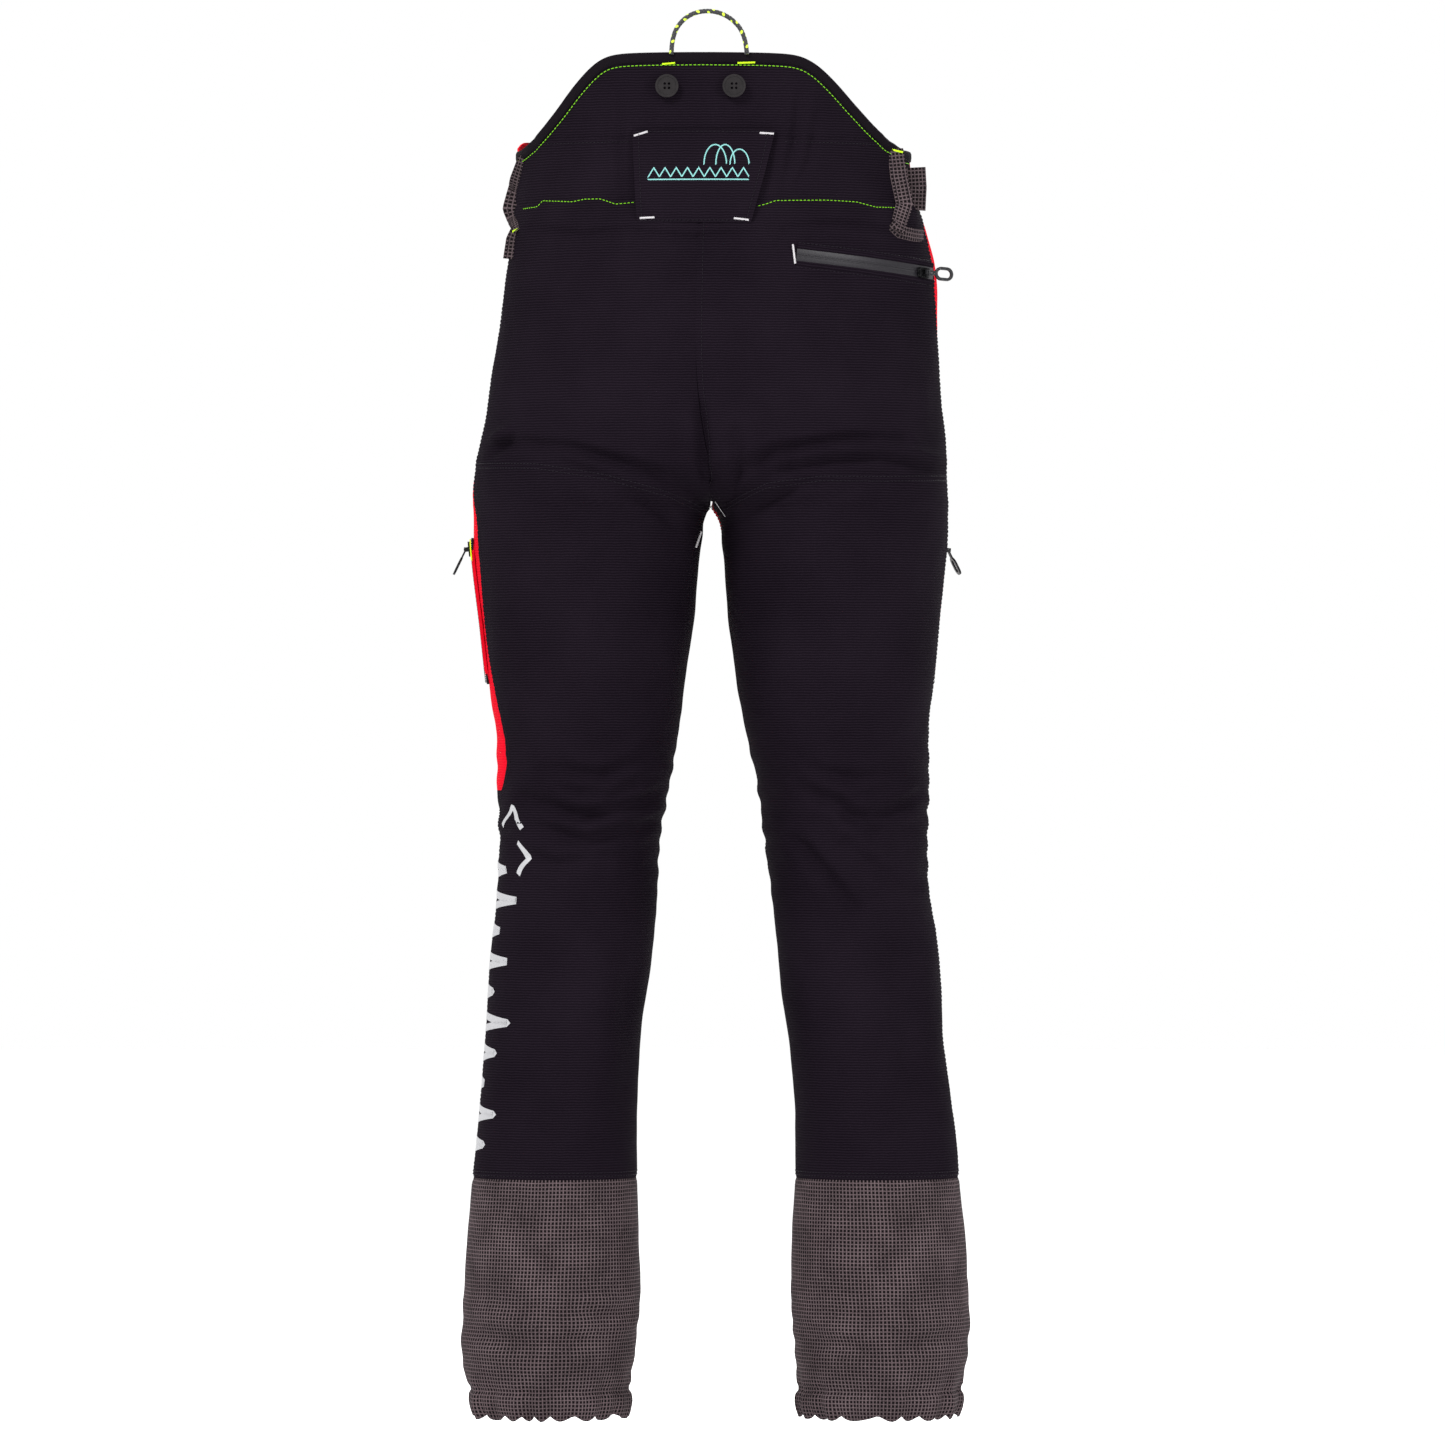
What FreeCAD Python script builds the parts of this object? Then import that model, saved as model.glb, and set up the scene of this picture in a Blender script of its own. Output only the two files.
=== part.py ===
"""Chainsaw protective trousers, hanging open at the waist and built as sewn panels.

Units are millimetres. +X is the wearer's right, +Y the wearer's front and +Z is up.
The origin is the centre of the waist opening. One half of the garment is one surface: a section at
a height is an ellipse, cut off at the middle of the body above the crotch and whole in the leg.
"""
import FreeCAD, Part
import math
import os
from FreeCAD import Vector

# Heights
FLAP_TOP_Z = 81.0
FLAP_SEAM_Z = 9.0
WAIST_SEAM_Z = -45.0
CROTCH_Z = -310.0
KNEE_FOLD_Z = (-498.0, -672.0)
CUFF_Z = -892.0
HEM_Z = -1100.0

# Cloth, pads and the gaps at seams
CLOTH = (0.0, 1.6)
POCKET = (2.2, 5.2)
PAD = (2.4, 7.4)
SHIELD = (2.4, 3.6)
LINING = (8.4, 9.2)
ELASTIC = (2.2, 4.4)
SEAM_GAP = 0.4
SEAM_TURN = 0.001

# The fold between hip and thigh runs up and outwards from the crotch.
FOLD_SLOPE = 0.75
FOLD_HEIGHT = 169.0

# Height, outer edge, inner edge of the ellipse, front and back of one half.
SECTIONS = [
    (90.0, 172.0, -172.0, 100.0, -100.0),
    (0.0, 171.0, -171.0, 105.0, -108.0),
    (-45.0, 176.0, -176.0, 108.0, -114.0),
    (-100.0, 186.0, -186.0, 110.0, -124.0),
    (-160.0, 191.0, -191.0, 110.0, -132.0),
    (-210.0, 197.0, -150.0, 108.0, -134.0),
    (-260.0, 203.0, -75.0, 104.0, -132.0),
    (-290.0, 205.0, -27.0, 100.0, -126.0),
    (-310.0, 206.0, 1.0, 98.0, -120.0),
    (-345.0, 206.0, 9.0, 98.0, -112.0),
    (-420.0, 198.0, 17.0, 98.0, -98.0),
    (-500.0, 191.0, 30.0, 95.0, -84.0),
    (-585.0, 187.0, 44.0, 90.0, -68.0),
    (-640.0, 189.0, 49.0, 84.0, -68.0),
    (-700.0, 194.0, 54.0, 74.0, -74.0),
    (-765.0, 199.0, 64.0, 66.0, -80.0),
    (-830.0, 206.0, 68.0, 60.0, -80.0),
    (-900.0, 212.0, 68.0, 58.0, -80.0),
    (-970.0, 219.0, 66.0, 58.0, -82.0),
    (-1040.0, 221.0, 69.0, 58.0, -82.0),
    (-1075.0, 216.0, 74.0, 54.0, -78.0),
    (-1105.0, 211.0, 78.0, 50.0, -74.0),
]
# Height, how far the garment hangs to the right, and the centre back seam's place beside that.
HANG = [
    (90.0, -3.0, -5.0),
    (0.0, 2.0, -10.0),
    (-100.0, 8.0, -20.0),
    (-200.0, 4.0, -16.0),
    (-290.0, 0.0, 0.0),
    (-420.0, 0.0, 0.0),
    (-585.0, 2.0, 0.0),
    (-900.0, 4.0, 0.0),
    (-1105.0, 3.5, 0.0),
]
# Height, and the turn of the side seam on the left and on the right.
SIDE_SEAM = [
    (90.0, 0.48, 0.50),
    (0.0, 0.48, 0.52),
    (-100.0, 0.47, 0.575),
    (-170.0, 0.47, 0.57),
    (-240.0, 0.50, 0.52),
    (-310.0, 0.535, 0.48),
    (-345.0, 0.545, 0.48),
    (-500.0, 0.54, 0.48),
    (-600.0, 0.48, 0.48),
    (-1105.0, 0.48, 0.48),
]
LEFT = -1
RIGHT = 1
FORWARD = 1
SIDES = {"left": LEFT, "right": RIGHT}

# The raised back: how far from its middle it is level, where its slope ends, and its binding.
FLAP_LEVEL = 84.0
FLAP_FOOT = 168.0
FLAP_END = math.radians(58.0)
BINDING_END = math.radians(84.0)
BINDING = (-1.2, 3.2)
BINDING_HEIGHT = 5.0

# The cord that the trousers hang by
CORD_RADIUS = 2.0
CORD_ROUTE = [
    (-34.0, 0.0), (-34.0, 16.0), (-22.0, 33.0), (-3.0, 38.5), (16.0, 33.0), (30.0, 17.0), (31.0, 0.0),
]
CORD_ARC_SHARE = 0.45
CORD_IN = 0.8

# Brace buttons: place beside the middle and height
BUTTON_RADIUS = 10.0
BUTTON_THICK = 3.0
BUTTON_HOLE = 1.1
BUTTON_HOLE_AT = 2.6
BUTTON_HOLES = 4
BUTTON_RIM = 1.8
BUTTON_DISH = 0.8
SHANK_RADIUS = 1.2
BUTTON_STAND = 2.4
BACK_BUTTONS = [(-38.0, 53.0), (20.0, 53.0)]
FRONT_BUTTONS = [(-94.0, -14.0), (-50.0, -14.0), (50.0, -14.0), (94.0, -14.0)]
SNAP_RADIUS = 8.5
SNAP_Z = -15.0

# Belt loops: a strap that stands off the waistband between two sewn ends
LOOP_GAP = 6.0
LOOP_CLOTH = 1.6
LOOP_LAND = 4.0
LOOP_WIDTH = 17.0
LOOP_STAND = 0.3
PATCH_WIDTH = 118.0
PATCH_Z = (15.0, -66.0)
PATCH_GAP = 7.0
WAIST_BEND = 320.0
SIDE_LOOP_TURN = {"left": 0.60, "right": 0.645}
SIDE_LOOP_Z = (-2.0, -76.0)
FRONT_LOOP_TURN = 0.28
FRONT_LOOP_Z = (-4.0, -62.0)

# Zips: tape, slider and pull
TAPE_WIDTH = 24.0
TAPE = 1.0
SLIDER = (13.0, 9.0, 2.8)
SLIDER_ROUND = 2.6
SLIDER_LIFT = 0.3
EAR = (3.6, 1.3, 4.2)
EAR_SINK = 0.5
EAR_GAP = 0.4
SLIDER_BACK = 2.0
PIN_RADIUS = 0.9
PIN_HEIGHT = 5.2
BARREL_RADIUS = 1.9
BARREL_BORE = 1.25
BARREL_LENGTH = 4.2
PULL_TAB = (9.0, 4.2, 1.4)
PULL_SLOT = (4.5, 1.6)
RING = (17.0, 12.0)
RING_WALL = 2.6
RING_THICK = 1.8
RING_SINK = 1.5
RING_ROUND = 0.1
THIGH_ZIP_Z = (-336.0, -462.0)
THIGH_ZIP_TURN = {"left": 0.505, "right": 0.447}
THIGH_ZIP_LIFT = 1.6
FLY_ZIP_Z = (-32.0, -165.0)
FLY_ZIP_LIFT = 1.9
REAR_ZIP = [(0.872, -95.0), (0.73, -101.0), (0.60, -107.0)]
REAR_ZIP_LIFT = 3.4
PULL_ANGLES = {"thigh": 32.0, "fly": 8.0, "rear": 30.0}

# Inside pieces: turns of their two edges and heights
REAR_POCKET_TURN = (0.62, 0.86)
REAR_POCKET_Z = (-112.0, -205.0)
FRONT_POCKET_TURN = (0.20, 0.42)
FRONT_POCKET_Z = (-58.0, -190.0)
SHIELD_TURN = (0.01, 0.10)
SHIELD_Z = (-6.0, -176.0)
PAD_TURN = (0.08, 0.43)
PAD_Z = (-345.0, -880.0)
WHOLE_TURN = (SEAM_TURN, 1 - SEAM_TURN)
LINING_Z = (-6.0, CUFF_Z + 10.0)
ELASTIC_Z = (HEM_Z + 26.0, HEM_Z + 2.0)

# Grid steps of the curved cloth
TURN_STEP = 0.02
HEIGHT_STEP = 14.0
DEGREE = 3


def table_value(table, z, column):
    """A column of a table at a height, on a smooth curve through the rows."""
    last = len(table) - 2
    row = 0
    while row < last and z < table[row + 1][0]:
        row += 1

    def slope(index):
        before = table[max(index - 1, 0)]
        after = table[min(index + 1, len(table) - 1)]
        return (after[column] - before[column]) / (after[0] - before[0])

    start, end = table[row], table[row + 1]
    run = end[0] - start[0]
    t = (z - start[0]) / run
    rise = 3 * t**2 - 2 * t**3
    ease_in = t**3 - 2 * t**2 + t
    ease_out = t**3 - t**2
    value = start[column] * (1 - rise) + end[column] * rise
    return value + run * (ease_in * slope(row) + ease_out * slope(row + 1))


def skin(side, turn, z, depth=0.0):
    """A point of one half: turn 0 is the centre front or inseam, 0.5 the outer side, 1 the back."""
    outer, inner, front, back = (table_value(SECTIONS, z, column) for column in (1, 2, 3, 4))
    half_width = (outer - inner) / 2
    middle = (outer + inner) / 2
    half_depth = (front - back) / 2
    start = math.acos(min(1.0, middle / half_width))
    angle = start + turn * (2 * math.pi - 2 * start)
    across = -math.cos(angle)
    along = math.sin(angle)
    normal = Vector(across / half_width, along / half_depth, 0).normalize()
    x = middle + half_width * across
    y = (front + back) / 2 + half_depth * along
    shift = table_value(HANG, z, 1)
    if turn > 0.5:
        shift += table_value(HANG, z, 2) * (1 - x / outer)
    x -= depth * normal.x
    y -= depth * normal.y
    return Vector(side * x + shift, y, z)


def outward(side, turn, z):
    """The level direction straight out of the cloth."""
    return (skin(side, turn, z) - skin(side, turn, z, 1.0)).normalize()


def waist(angle, z, depth=0.0):
    """A point of the whole waist, by its angle from the centre back, positive to the right."""
    side = RIGHT if angle >= 0 else LEFT
    return skin(side, 1 - abs(angle) / math.pi, z, depth)


def flap_edge(angle):
    """The height of the waist's top edge at an angle from the centre back."""
    if abs(angle) >= math.pi / 2:
        return 0.0
    along = SECTIONS[0][1] * math.sin(abs(angle))
    t = min(1.0, max(0.0, (along - FLAP_LEVEL) / (FLAP_FOOT - FLAP_LEVEL)))
    return FLAP_TOP_Z * (1 - 0.5 * t - 0.5 * t * t * (3 - 2 * t))


def side_seam(side, z):
    return table_value(SIDE_SEAM, z, 1 if side == LEFT else 2)


def fold_line(drop):
    """The height of a line that runs up and outwards from the crotch, by side and turn."""

    def height(side, turn):
        z = CROTCH_Z - drop
        for _ in range(6):
            z = CROTCH_Z - drop + FOLD_SLOPE * abs(skin(side, turn, z).x)
        return z

    return height


def level(z):
    return lambda side, turn: z


def smooth_surface(grid):
    """A cubic surface that follows a grid of points without swinging out between them."""
    surface = Part.BSplineSurface()
    knots = []
    repeats = []
    for count in (len(grid), len(grid[0])):
        spans = count - DEGREE
        knots.append([span / spans for span in range(spans + 1)])
        repeats.append([DEGREE + 1] + [1] * (spans - 1) + [DEGREE + 1])
    surface.buildFromPolesMultsKnots(
        grid, repeats[0], repeats[1], knots[0], knots[1], False, False, DEGREE, DEGREE
    )
    return surface


def sheet_solid(point, turns, rows, depths):
    """A closed six-faced solid of curved cloth; point(t, v, depth) has t and v from 0 to 1."""
    surfaces = []
    faces = []
    for depth in depths:
        grid = [[point(i / turns, j / rows, depth) for j in range(rows + 1)] for i in range(turns + 1)]
        surface = smooth_surface(grid)
        surfaces.append(surface)
        faces.append(surface.toShape())
    outer, inner = surfaces
    u0, u1, v0, v1 = outer.bounds()
    edges = [(outer.uIso(u), inner.uIso(u)) for u in (u0, u1)]
    edges += [(outer.vIso(v), inner.vIso(v)) for v in (v0, v1)]
    for first, second in edges:
        faces.append(Part.makeRuledSurface(first.toShape(), second.toShape(), FORWARD))
    shell = Part.Shell(faces)
    shell.sewShape()
    solid = Part.Solid(shell)
    if solid.Volume < 0:
        solid.reverse()
    return solid


def panel(side, start, end, top, bottom, depths=CLOTH):
    """Cloth on one half between two seams, given as turns by height, and two edges by side and turn."""
    middle = (top(side, 0.5) + bottom(side, 0.5)) / 2
    turns = max(4, math.ceil((end(middle) - start(middle)) / TURN_STEP))
    drop = max(top(side, turn) - bottom(side, turn) for turn in (start(middle), end(middle)))
    rows = max(4, math.ceil(drop / HEIGHT_STEP))

    def point(t, v, depth):
        z = middle
        turn = 0.0
        for _ in range(4):
            turn = start(z) + t * (end(z) - start(z))
            high = top(side, turn) - SEAM_GAP
            low = bottom(side, turn) + SEAM_GAP
            z = high + v * (low - high)
        return skin(side, turn, z, depth)

    return sheet_solid(point, turns, rows, depths)


def front_panel(side, top, bottom):
    return panel(side, lambda z: SEAM_TURN, lambda z: side_seam(side, z) - SEAM_TURN, top, bottom)


def back_panel(side, top, bottom):
    return panel(side, lambda z: side_seam(side, z) + SEAM_TURN, lambda z: 1 - SEAM_TURN, top, bottom)


def inside_panel(side, turns, heights, depths):
    """Cloth between two fixed turns and two heights."""
    start, end = turns
    high, low = heights
    return panel(side, lambda z: start, lambda z: end, level(high), level(low), depths)


def band(first, last, top, bottom, depths, turns):
    """Cloth round the back of the waist between two angles, given by height."""

    def point(t, v, depth):
        z = 0.0
        for _ in range(3):
            angle = first(z) + t * (last(z) - first(z))
            high = top(angle) - SEAM_GAP
            low = bottom(angle) + SEAM_GAP
            z = high + v * (low - high)
        return waist(angle, z, depth)

    return sheet_solid(point, turns, 4, depths)


def placed(shape, origin, along, out):
    """Moves a shape from its own axes to a place: its x goes along and its z goes out."""
    side = out.cross(along).normalize()
    matrix = FreeCAD.Matrix(
        along.x, side.x, out.x, origin.x,
        along.y, side.y, out.y, origin.y,
        along.z, side.z, out.z, origin.z,
        0, 0, 0, 1,
    )
    shape.Placement = FreeCAD.Placement(matrix).multiply(shape.Placement)
    return shape


def box(length, width, height, low_z):
    """A box centred in x and y, from a height."""
    return Part.makeBox(length, width, height, Vector(-length / 2, -width / 2, low_z))


def rounded_plate(length, width, height, radius):
    """A plate centred in x and y with round corners, from z 0."""
    plate = box(length, width, height, 0)
    upright = [edge for edge in plate.Edges if abs(edge.tangentAt(edge.FirstParameter).z) > 0.9]
    return plate.makeFillet(radius, upright)


def save(name, shape):
    shape.exportStep(os.path.join("parts", name + ".step"))
    print(f"{name}: {shape.Volume:.0f} mm3, valid {shape.isValid()}")


# Hips


def make_flap_and_waistbands():
    def edge(angle):
        return flap_edge(angle) - BINDING_HEIGHT

    def seam(angle):
        return min(FLAP_SEAM_Z, edge(angle))

    def same(angle):
        return lambda z: angle

    def left(z):
        return -math.pi * (1 - side_seam(LEFT, z) - SEAM_TURN)

    def right(z):
        return math.pi * (1 - side_seam(RIGHT, z) - SEAM_TURN)

    save("kidney_flap", band(same(-FLAP_END), same(FLAP_END), edge, seam, CLOTH, 24))
    save("top_binding", band(same(-BINDING_END), same(BINDING_END), flap_edge, edge, BINDING, 36))
    save("waistband_back", band(left, right, seam, lambda angle: WAIST_SEAM_Z, CLOTH, 36))
    for name, side in SIDES.items():
        save(f"waistband_front_{name}", front_panel(side, level(0.0), level(WAIST_SEAM_Z)))


def make_hip_panels():
    for name, side in SIDES.items():
        save(f"seat_panel_{name}", back_panel(side, level(WAIST_SEAM_Z), fold_line(0.0)))
        save(f"hip_front_{name}", front_panel(side, level(WAIST_SEAM_Z), fold_line(0.0)))


def make_pockets():
    save("rear_pocket_bag", inside_panel(RIGHT, REAR_POCKET_TURN, REAR_POCKET_Z, POCKET))
    for name, side in SIDES.items():
        save(f"front_pocket_{name}", inside_panel(side, FRONT_POCKET_TURN, FRONT_POCKET_Z, POCKET))


def button(radius, thick, holes):
    """A round button on a short shank, with its back at z 0 and its shank below."""
    body = Part.makeCylinder(radius, thick)
    dish = Part.makeCylinder(radius - BUTTON_RIM, thick, Vector(0, 0, thick - BUTTON_DISH))
    body = body.cut(dish)
    for index in range(holes):
        angle = math.pi / 4 + index * math.pi / 2
        place = Vector(BUTTON_HOLE_AT * math.cos(angle), BUTTON_HOLE_AT * math.sin(angle), -1)
        body = body.cut(Part.makeCylinder(BUTTON_HOLE, thick + 2, place))
    shank = Part.makeCylinder(SHANK_RADIUS, BUTTON_STAND, Vector(0, 0, -BUTTON_STAND))
    return body.fuse(shank)


def nearest_turn(side, x, z, front):
    """The turn where the cloth passes a distance across, on the front or back half."""
    low, high = (0.0, 0.5) if front else (1.0, 0.5)
    for _ in range(40):
        middle = (low + high) / 2
        if abs(skin(side, middle, z).x) < abs(x):
            low = middle
        else:
            high = middle
    return (low + high) / 2


def make_buttons():
    buttons = []
    for x, z in BACK_BUTTONS:
        side = RIGHT if x > 0 else LEFT
        at = skin(side, nearest_turn(side, x, z, False), z)
        at = Vector(x, at.y - BUTTON_STAND - SEAM_GAP, z)
        shape = button(BUTTON_RADIUS, BUTTON_THICK, BUTTON_HOLES)
        buttons.append(placed(shape, at, Vector(1, 0, 0), Vector(0, -1, 0)))
    for x, z in FRONT_BUTTONS:
        side = RIGHT if x > 0 else LEFT
        turn = nearest_turn(side, x, z, True)
        out = outward(side, turn, z)
        at = skin(side, turn, z) + out * (BUTTON_STAND + SEAM_GAP)
        shape = button(BUTTON_RADIUS, BUTTON_THICK, BUTTON_HOLES)
        buttons.append(placed(shape, at, Vector(0, 0, 1), out))
    save("brace_buttons", Part.makeCompound(buttons))
    front = skin(RIGHT, 0.0, SNAP_Z) + Vector(0, BUTTON_STAND + SEAM_GAP, 0)
    snap = button(SNAP_RADIUS, BUTTON_THICK, 0)
    save("waist_snap", placed(snap, front, Vector(1, 0, 0), Vector(0, 1, 0)))


def loop_outline(high, low, gap):
    """The section of a belt loop, as distance out of the cloth and height."""
    outside = LOOP_STAND + gap + LOOP_CLOTH
    inside = LOOP_STAND + gap
    points = [
        (LOOP_STAND, high), (outside, high - LOOP_CLOTH), (outside, low + LOOP_CLOTH), (LOOP_STAND, low),
        (LOOP_STAND, low + LOOP_LAND), (inside, low + LOOP_LAND + LOOP_CLOTH),
        (inside, high - LOOP_LAND - LOOP_CLOTH), (LOOP_STAND, high - LOOP_LAND),
    ]
    return points


def strap_loop(side, turn, heights, width):
    """A flat belt loop on the cloth, standing on its furthest-out point."""
    high, low = heights
    middle = (high + low) / 2
    out = outward(side, turn, middle)
    along = Vector(0, 0, 1).cross(out)
    base = max((skin(side, turn, z).dot(out) for z in (high, middle, low)))
    centre = skin(side, turn, middle)
    centre += out * (base - centre.dot(out))
    start = centre - along * (width / 2)
    outline = loop_outline(high, low, LOOP_GAP)
    points = [start + out * reach + Vector(0, 0, z - middle) for reach, z in outline]
    face = Part.Face(Part.makePolygon(points + points[:1]))
    return face.extrude(along * width)


def make_loops():
    for name, side in SIDES.items():
        loop = strap_loop(side, SIDE_LOOP_TURN[name], SIDE_LOOP_Z, LOOP_WIDTH)
        save(f"side_belt_loop_{name}", loop)
    front = [strap_loop(side, FRONT_LOOP_TURN, FRONT_LOOP_Z, LOOP_WIDTH) for side in SIDES.values()]
    save("front_belt_loops", Part.makeCompound(front))
    high, low = PATCH_Z
    middle = waist(0.0, low)
    centre = Vector(middle.x, middle.y + WAIST_BEND, 0)
    half = PATCH_WIDTH / 2 / WAIST_BEND
    outline = loop_outline(high, low, PATCH_GAP)
    points = [Vector(centre.x, waist(0.0, z).y - reach, z) for reach, z in outline]
    face = Part.Face(Part.makePolygon(points + points[:1]))
    face.rotate(centre, Vector(0, 0, 1), -math.degrees(half))
    save("centre_belt_loop", face.revolve(centre, Vector(0, 0, 1), 2 * math.degrees(half)))


def make_cord():
    """The hanging loop: straight runs joined by arcs as large as the runs allow."""
    foot = waist(0.0, FLAP_TOP_Z) - Vector(0, CORD_IN, SEAM_GAP)
    points = [Vector(x, foot.y, foot.z + z) for x, z in CORD_ROUTE]
    edges = []
    here = points[0]
    for before, corner, after in zip(points, points[1:], points[2:]):
        back = before - corner
        forth = after - corner
        reach = CORD_ARC_SHARE * min(back.Length, forth.Length)
        half_turn = (math.pi - back.getAngle(forth)) / 2
        radius = reach / math.tan(half_turn)
        back.normalize()
        forth.normalize()
        start = corner + back * reach
        end = corner + forth * reach
        bisector = (back + forth).normalize()
        centre = corner + bisector * (radius / math.cos(half_turn))
        edges.append(Part.LineSegment(here, start).toShape())
        edges.append(Part.Arc(start, centre - bisector * radius, end).toShape())
        here = end
        print(f"cord radius {radius:.1f}")
    edges.append(Part.LineSegment(here, points[-1]).toShape())
    path = Part.Wire(edges)
    circle = Part.Wire(Part.makeCircle(CORD_RADIUS, points[0], points[1] - points[0]))
    cord = path.makePipeShell([circle], True, True)
    print(f"cord length {path.Length:.1f}, volume by length {math.pi * CORD_RADIUS**2 * path.Length:.0f}")
    save("hanging_cord", cord)


# Zips


def slider():
    """A zip slider on z 0: x is its travel, and a pin across its two ears carries the pull."""
    length, width, height = SLIDER
    body = rounded_plate(length, width, height, SLIDER_ROUND)
    body.translate(Vector(0, 0, SLIDER_LIFT))
    top = SLIDER_LIFT + height
    ear_length, ear_width, ear_height = EAR
    for way in (-1, 1):
        ear = box(ear_length, ear_width, ear_height, top - EAR_SINK)
        ear.translate(Vector(0, way * (BARREL_LENGTH / 2 + EAR_GAP + ear_width / 2), 0))
        body = body.fuse(ear)
    reach = BARREL_LENGTH + 2 * EAR_GAP + ear_width
    pin = Part.makeCylinder(PIN_RADIUS, reach, Vector(0, -reach / 2, PIN_HEIGHT), Vector(0, 1, 0))
    return body.fuse(pin).removeSplitter()


def pull():
    """A zip pull that points along x from its barrel, which turns on the slider's pin at the origin."""
    across = Vector(0, 1, 0)
    start = Vector(0, -BARREL_LENGTH / 2, 0)
    barrel = Part.makeCylinder(BARREL_RADIUS, BARREL_LENGTH, start, across)
    length, width, thick = PULL_TAB
    tab = box(length, width, thick, -thick / 2)
    tab.translate(Vector(length / 2, 0, 0))
    slot_length, slot_width = PULL_SLOT
    slot = box(slot_length, slot_width, 2 * thick, -thick)
    slot.translate(Vector(length - slot_length, 0, 0))
    ring_length, ring_width = RING
    ring_middle = Vector(length + ring_length / 2 - RING_SINK, 0, -RING_THICK / 2)
    ring = rounded_plate(ring_length, ring_width, RING_THICK, ring_width / 2 - RING_ROUND)
    hole_length = ring_length - 2 * RING_WALL
    hole_width = ring_width - 2 * RING_WALL
    hole = rounded_plate(hole_length, hole_width, 3 * RING_THICK, hole_width / 2 - RING_ROUND)
    hole.translate(Vector(0, 0, -RING_THICK))
    ring = ring.cut(hole)
    ring.translate(ring_middle)
    solid = barrel.fuse(tab).cut(slot).fuse(ring)
    bore = Part.makeCylinder(BARREL_BORE, 2 * BARREL_LENGTH, start * 2, across)
    return solid.cut(bore).removeSplitter()


def save_slider_and_pull(name, kind, origin, along, out):
    """Puts a slider with its pull on a zip; the pull leans out of the zip by its own angle."""
    save(f"{name}_slider", placed(slider(), origin, along, out))
    lean = math.radians(PULL_ANGLES[kind])
    pull_along = (along * math.cos(lean) + out * math.sin(lean)).normalize()
    pull_out = (out * math.cos(lean) - along * math.sin(lean)).normalize()
    pin = origin + out * PIN_HEIGHT
    save(f"{name}_pull", placed(pull(), pin, pull_along, pull_out))
    print(f"{name} pin {tuple(round(v, 4) for v in pin)} travel {tuple(round(v, 5) for v in along)}")
    print(f"{name} pin axis {tuple(round(v, 5) for v in out.cross(along))}")


def straight_zip(name, kind, side, turn, heights, lift):
    """A straight zip on the cloth, closed at its top, where its slider stands."""
    high, low = (skin(side, turn, z) for z in heights)
    along = (low - high).normalize()
    out = outward(side, turn, sum(heights) / 2)
    out = (out - along * out.dot(along)).normalize()
    length = (low - high).Length
    start = high + out * lift
    tape = box(length, TAPE_WIDTH, TAPE, 0)
    tape.translate(Vector(length / 2, 0, 0))
    save(f"{name}_zip_tape", placed(tape, start, along, out))
    at = start + along * (SLIDER[0] / 2 + SLIDER_BACK) + out * TAPE
    save_slider_and_pull(name, kind, at, along, out)


def make_rear_zip():
    """The rear pocket's zip bends round the hip on a circle, and its slider turns about its middle."""
    start, middle, end = (skin(RIGHT, turn, z) for turn, z in REAR_ZIP)
    centre = Part.Arc(start, middle, end).toShape().Curve.Center
    axis = (end - centre).cross(start - centre).normalize()
    radius = (start - centre).Length + REAR_ZIP_LIFT
    sweep = (start - centre).getAngle(end - centre)
    out = (start - centre).normalize()
    corner = centre + out * radius - axis * (TAPE_WIDTH / 2)
    thick = out * TAPE
    wide = axis * TAPE_WIDTH
    points = [corner, corner + thick, corner + thick + wide, corner + wide]
    face = Part.Face(Part.makePolygon(points + points[:1]))
    save("rear_pocket_zip_tape", face.revolve(centre, axis * -1, math.degrees(sweep)))
    end_out = (end - centre).normalize()
    along = end_out.cross(axis).normalize()
    if along.dot(end - start) < 0:
        along = along * -1
    back = (SLIDER[0] / 2 + SLIDER_BACK) / radius
    out = (end_out * math.cos(back) - along * math.sin(back)).normalize()
    along = (along * math.cos(back) + end_out * math.sin(back)).normalize()
    save_slider_and_pull("rear_pocket", "rear", centre + out * (radius + TAPE), along, out)
    print(f"rear zip centre {tuple(round(v, 3) for v in centre)} axis {tuple(round(v, 5) for v in axis)}")
    print(f"rear zip sweep {math.degrees(sweep):.1f} radius {radius:.1f}")


def make_zips():
    for name, side in SIDES.items():
        straight_zip(f"thigh_{name}", "thigh", side, THIGH_ZIP_TURN[name], THIGH_ZIP_Z, THIGH_ZIP_LIFT)
    straight_zip("fly", "fly", RIGHT, 0.0, FLY_ZIP_Z, FLY_ZIP_LIFT)
    save("fly_shield", inside_panel(LEFT, SHIELD_TURN, SHIELD_Z, SHIELD))
    make_rear_zip()


# Legs


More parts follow.
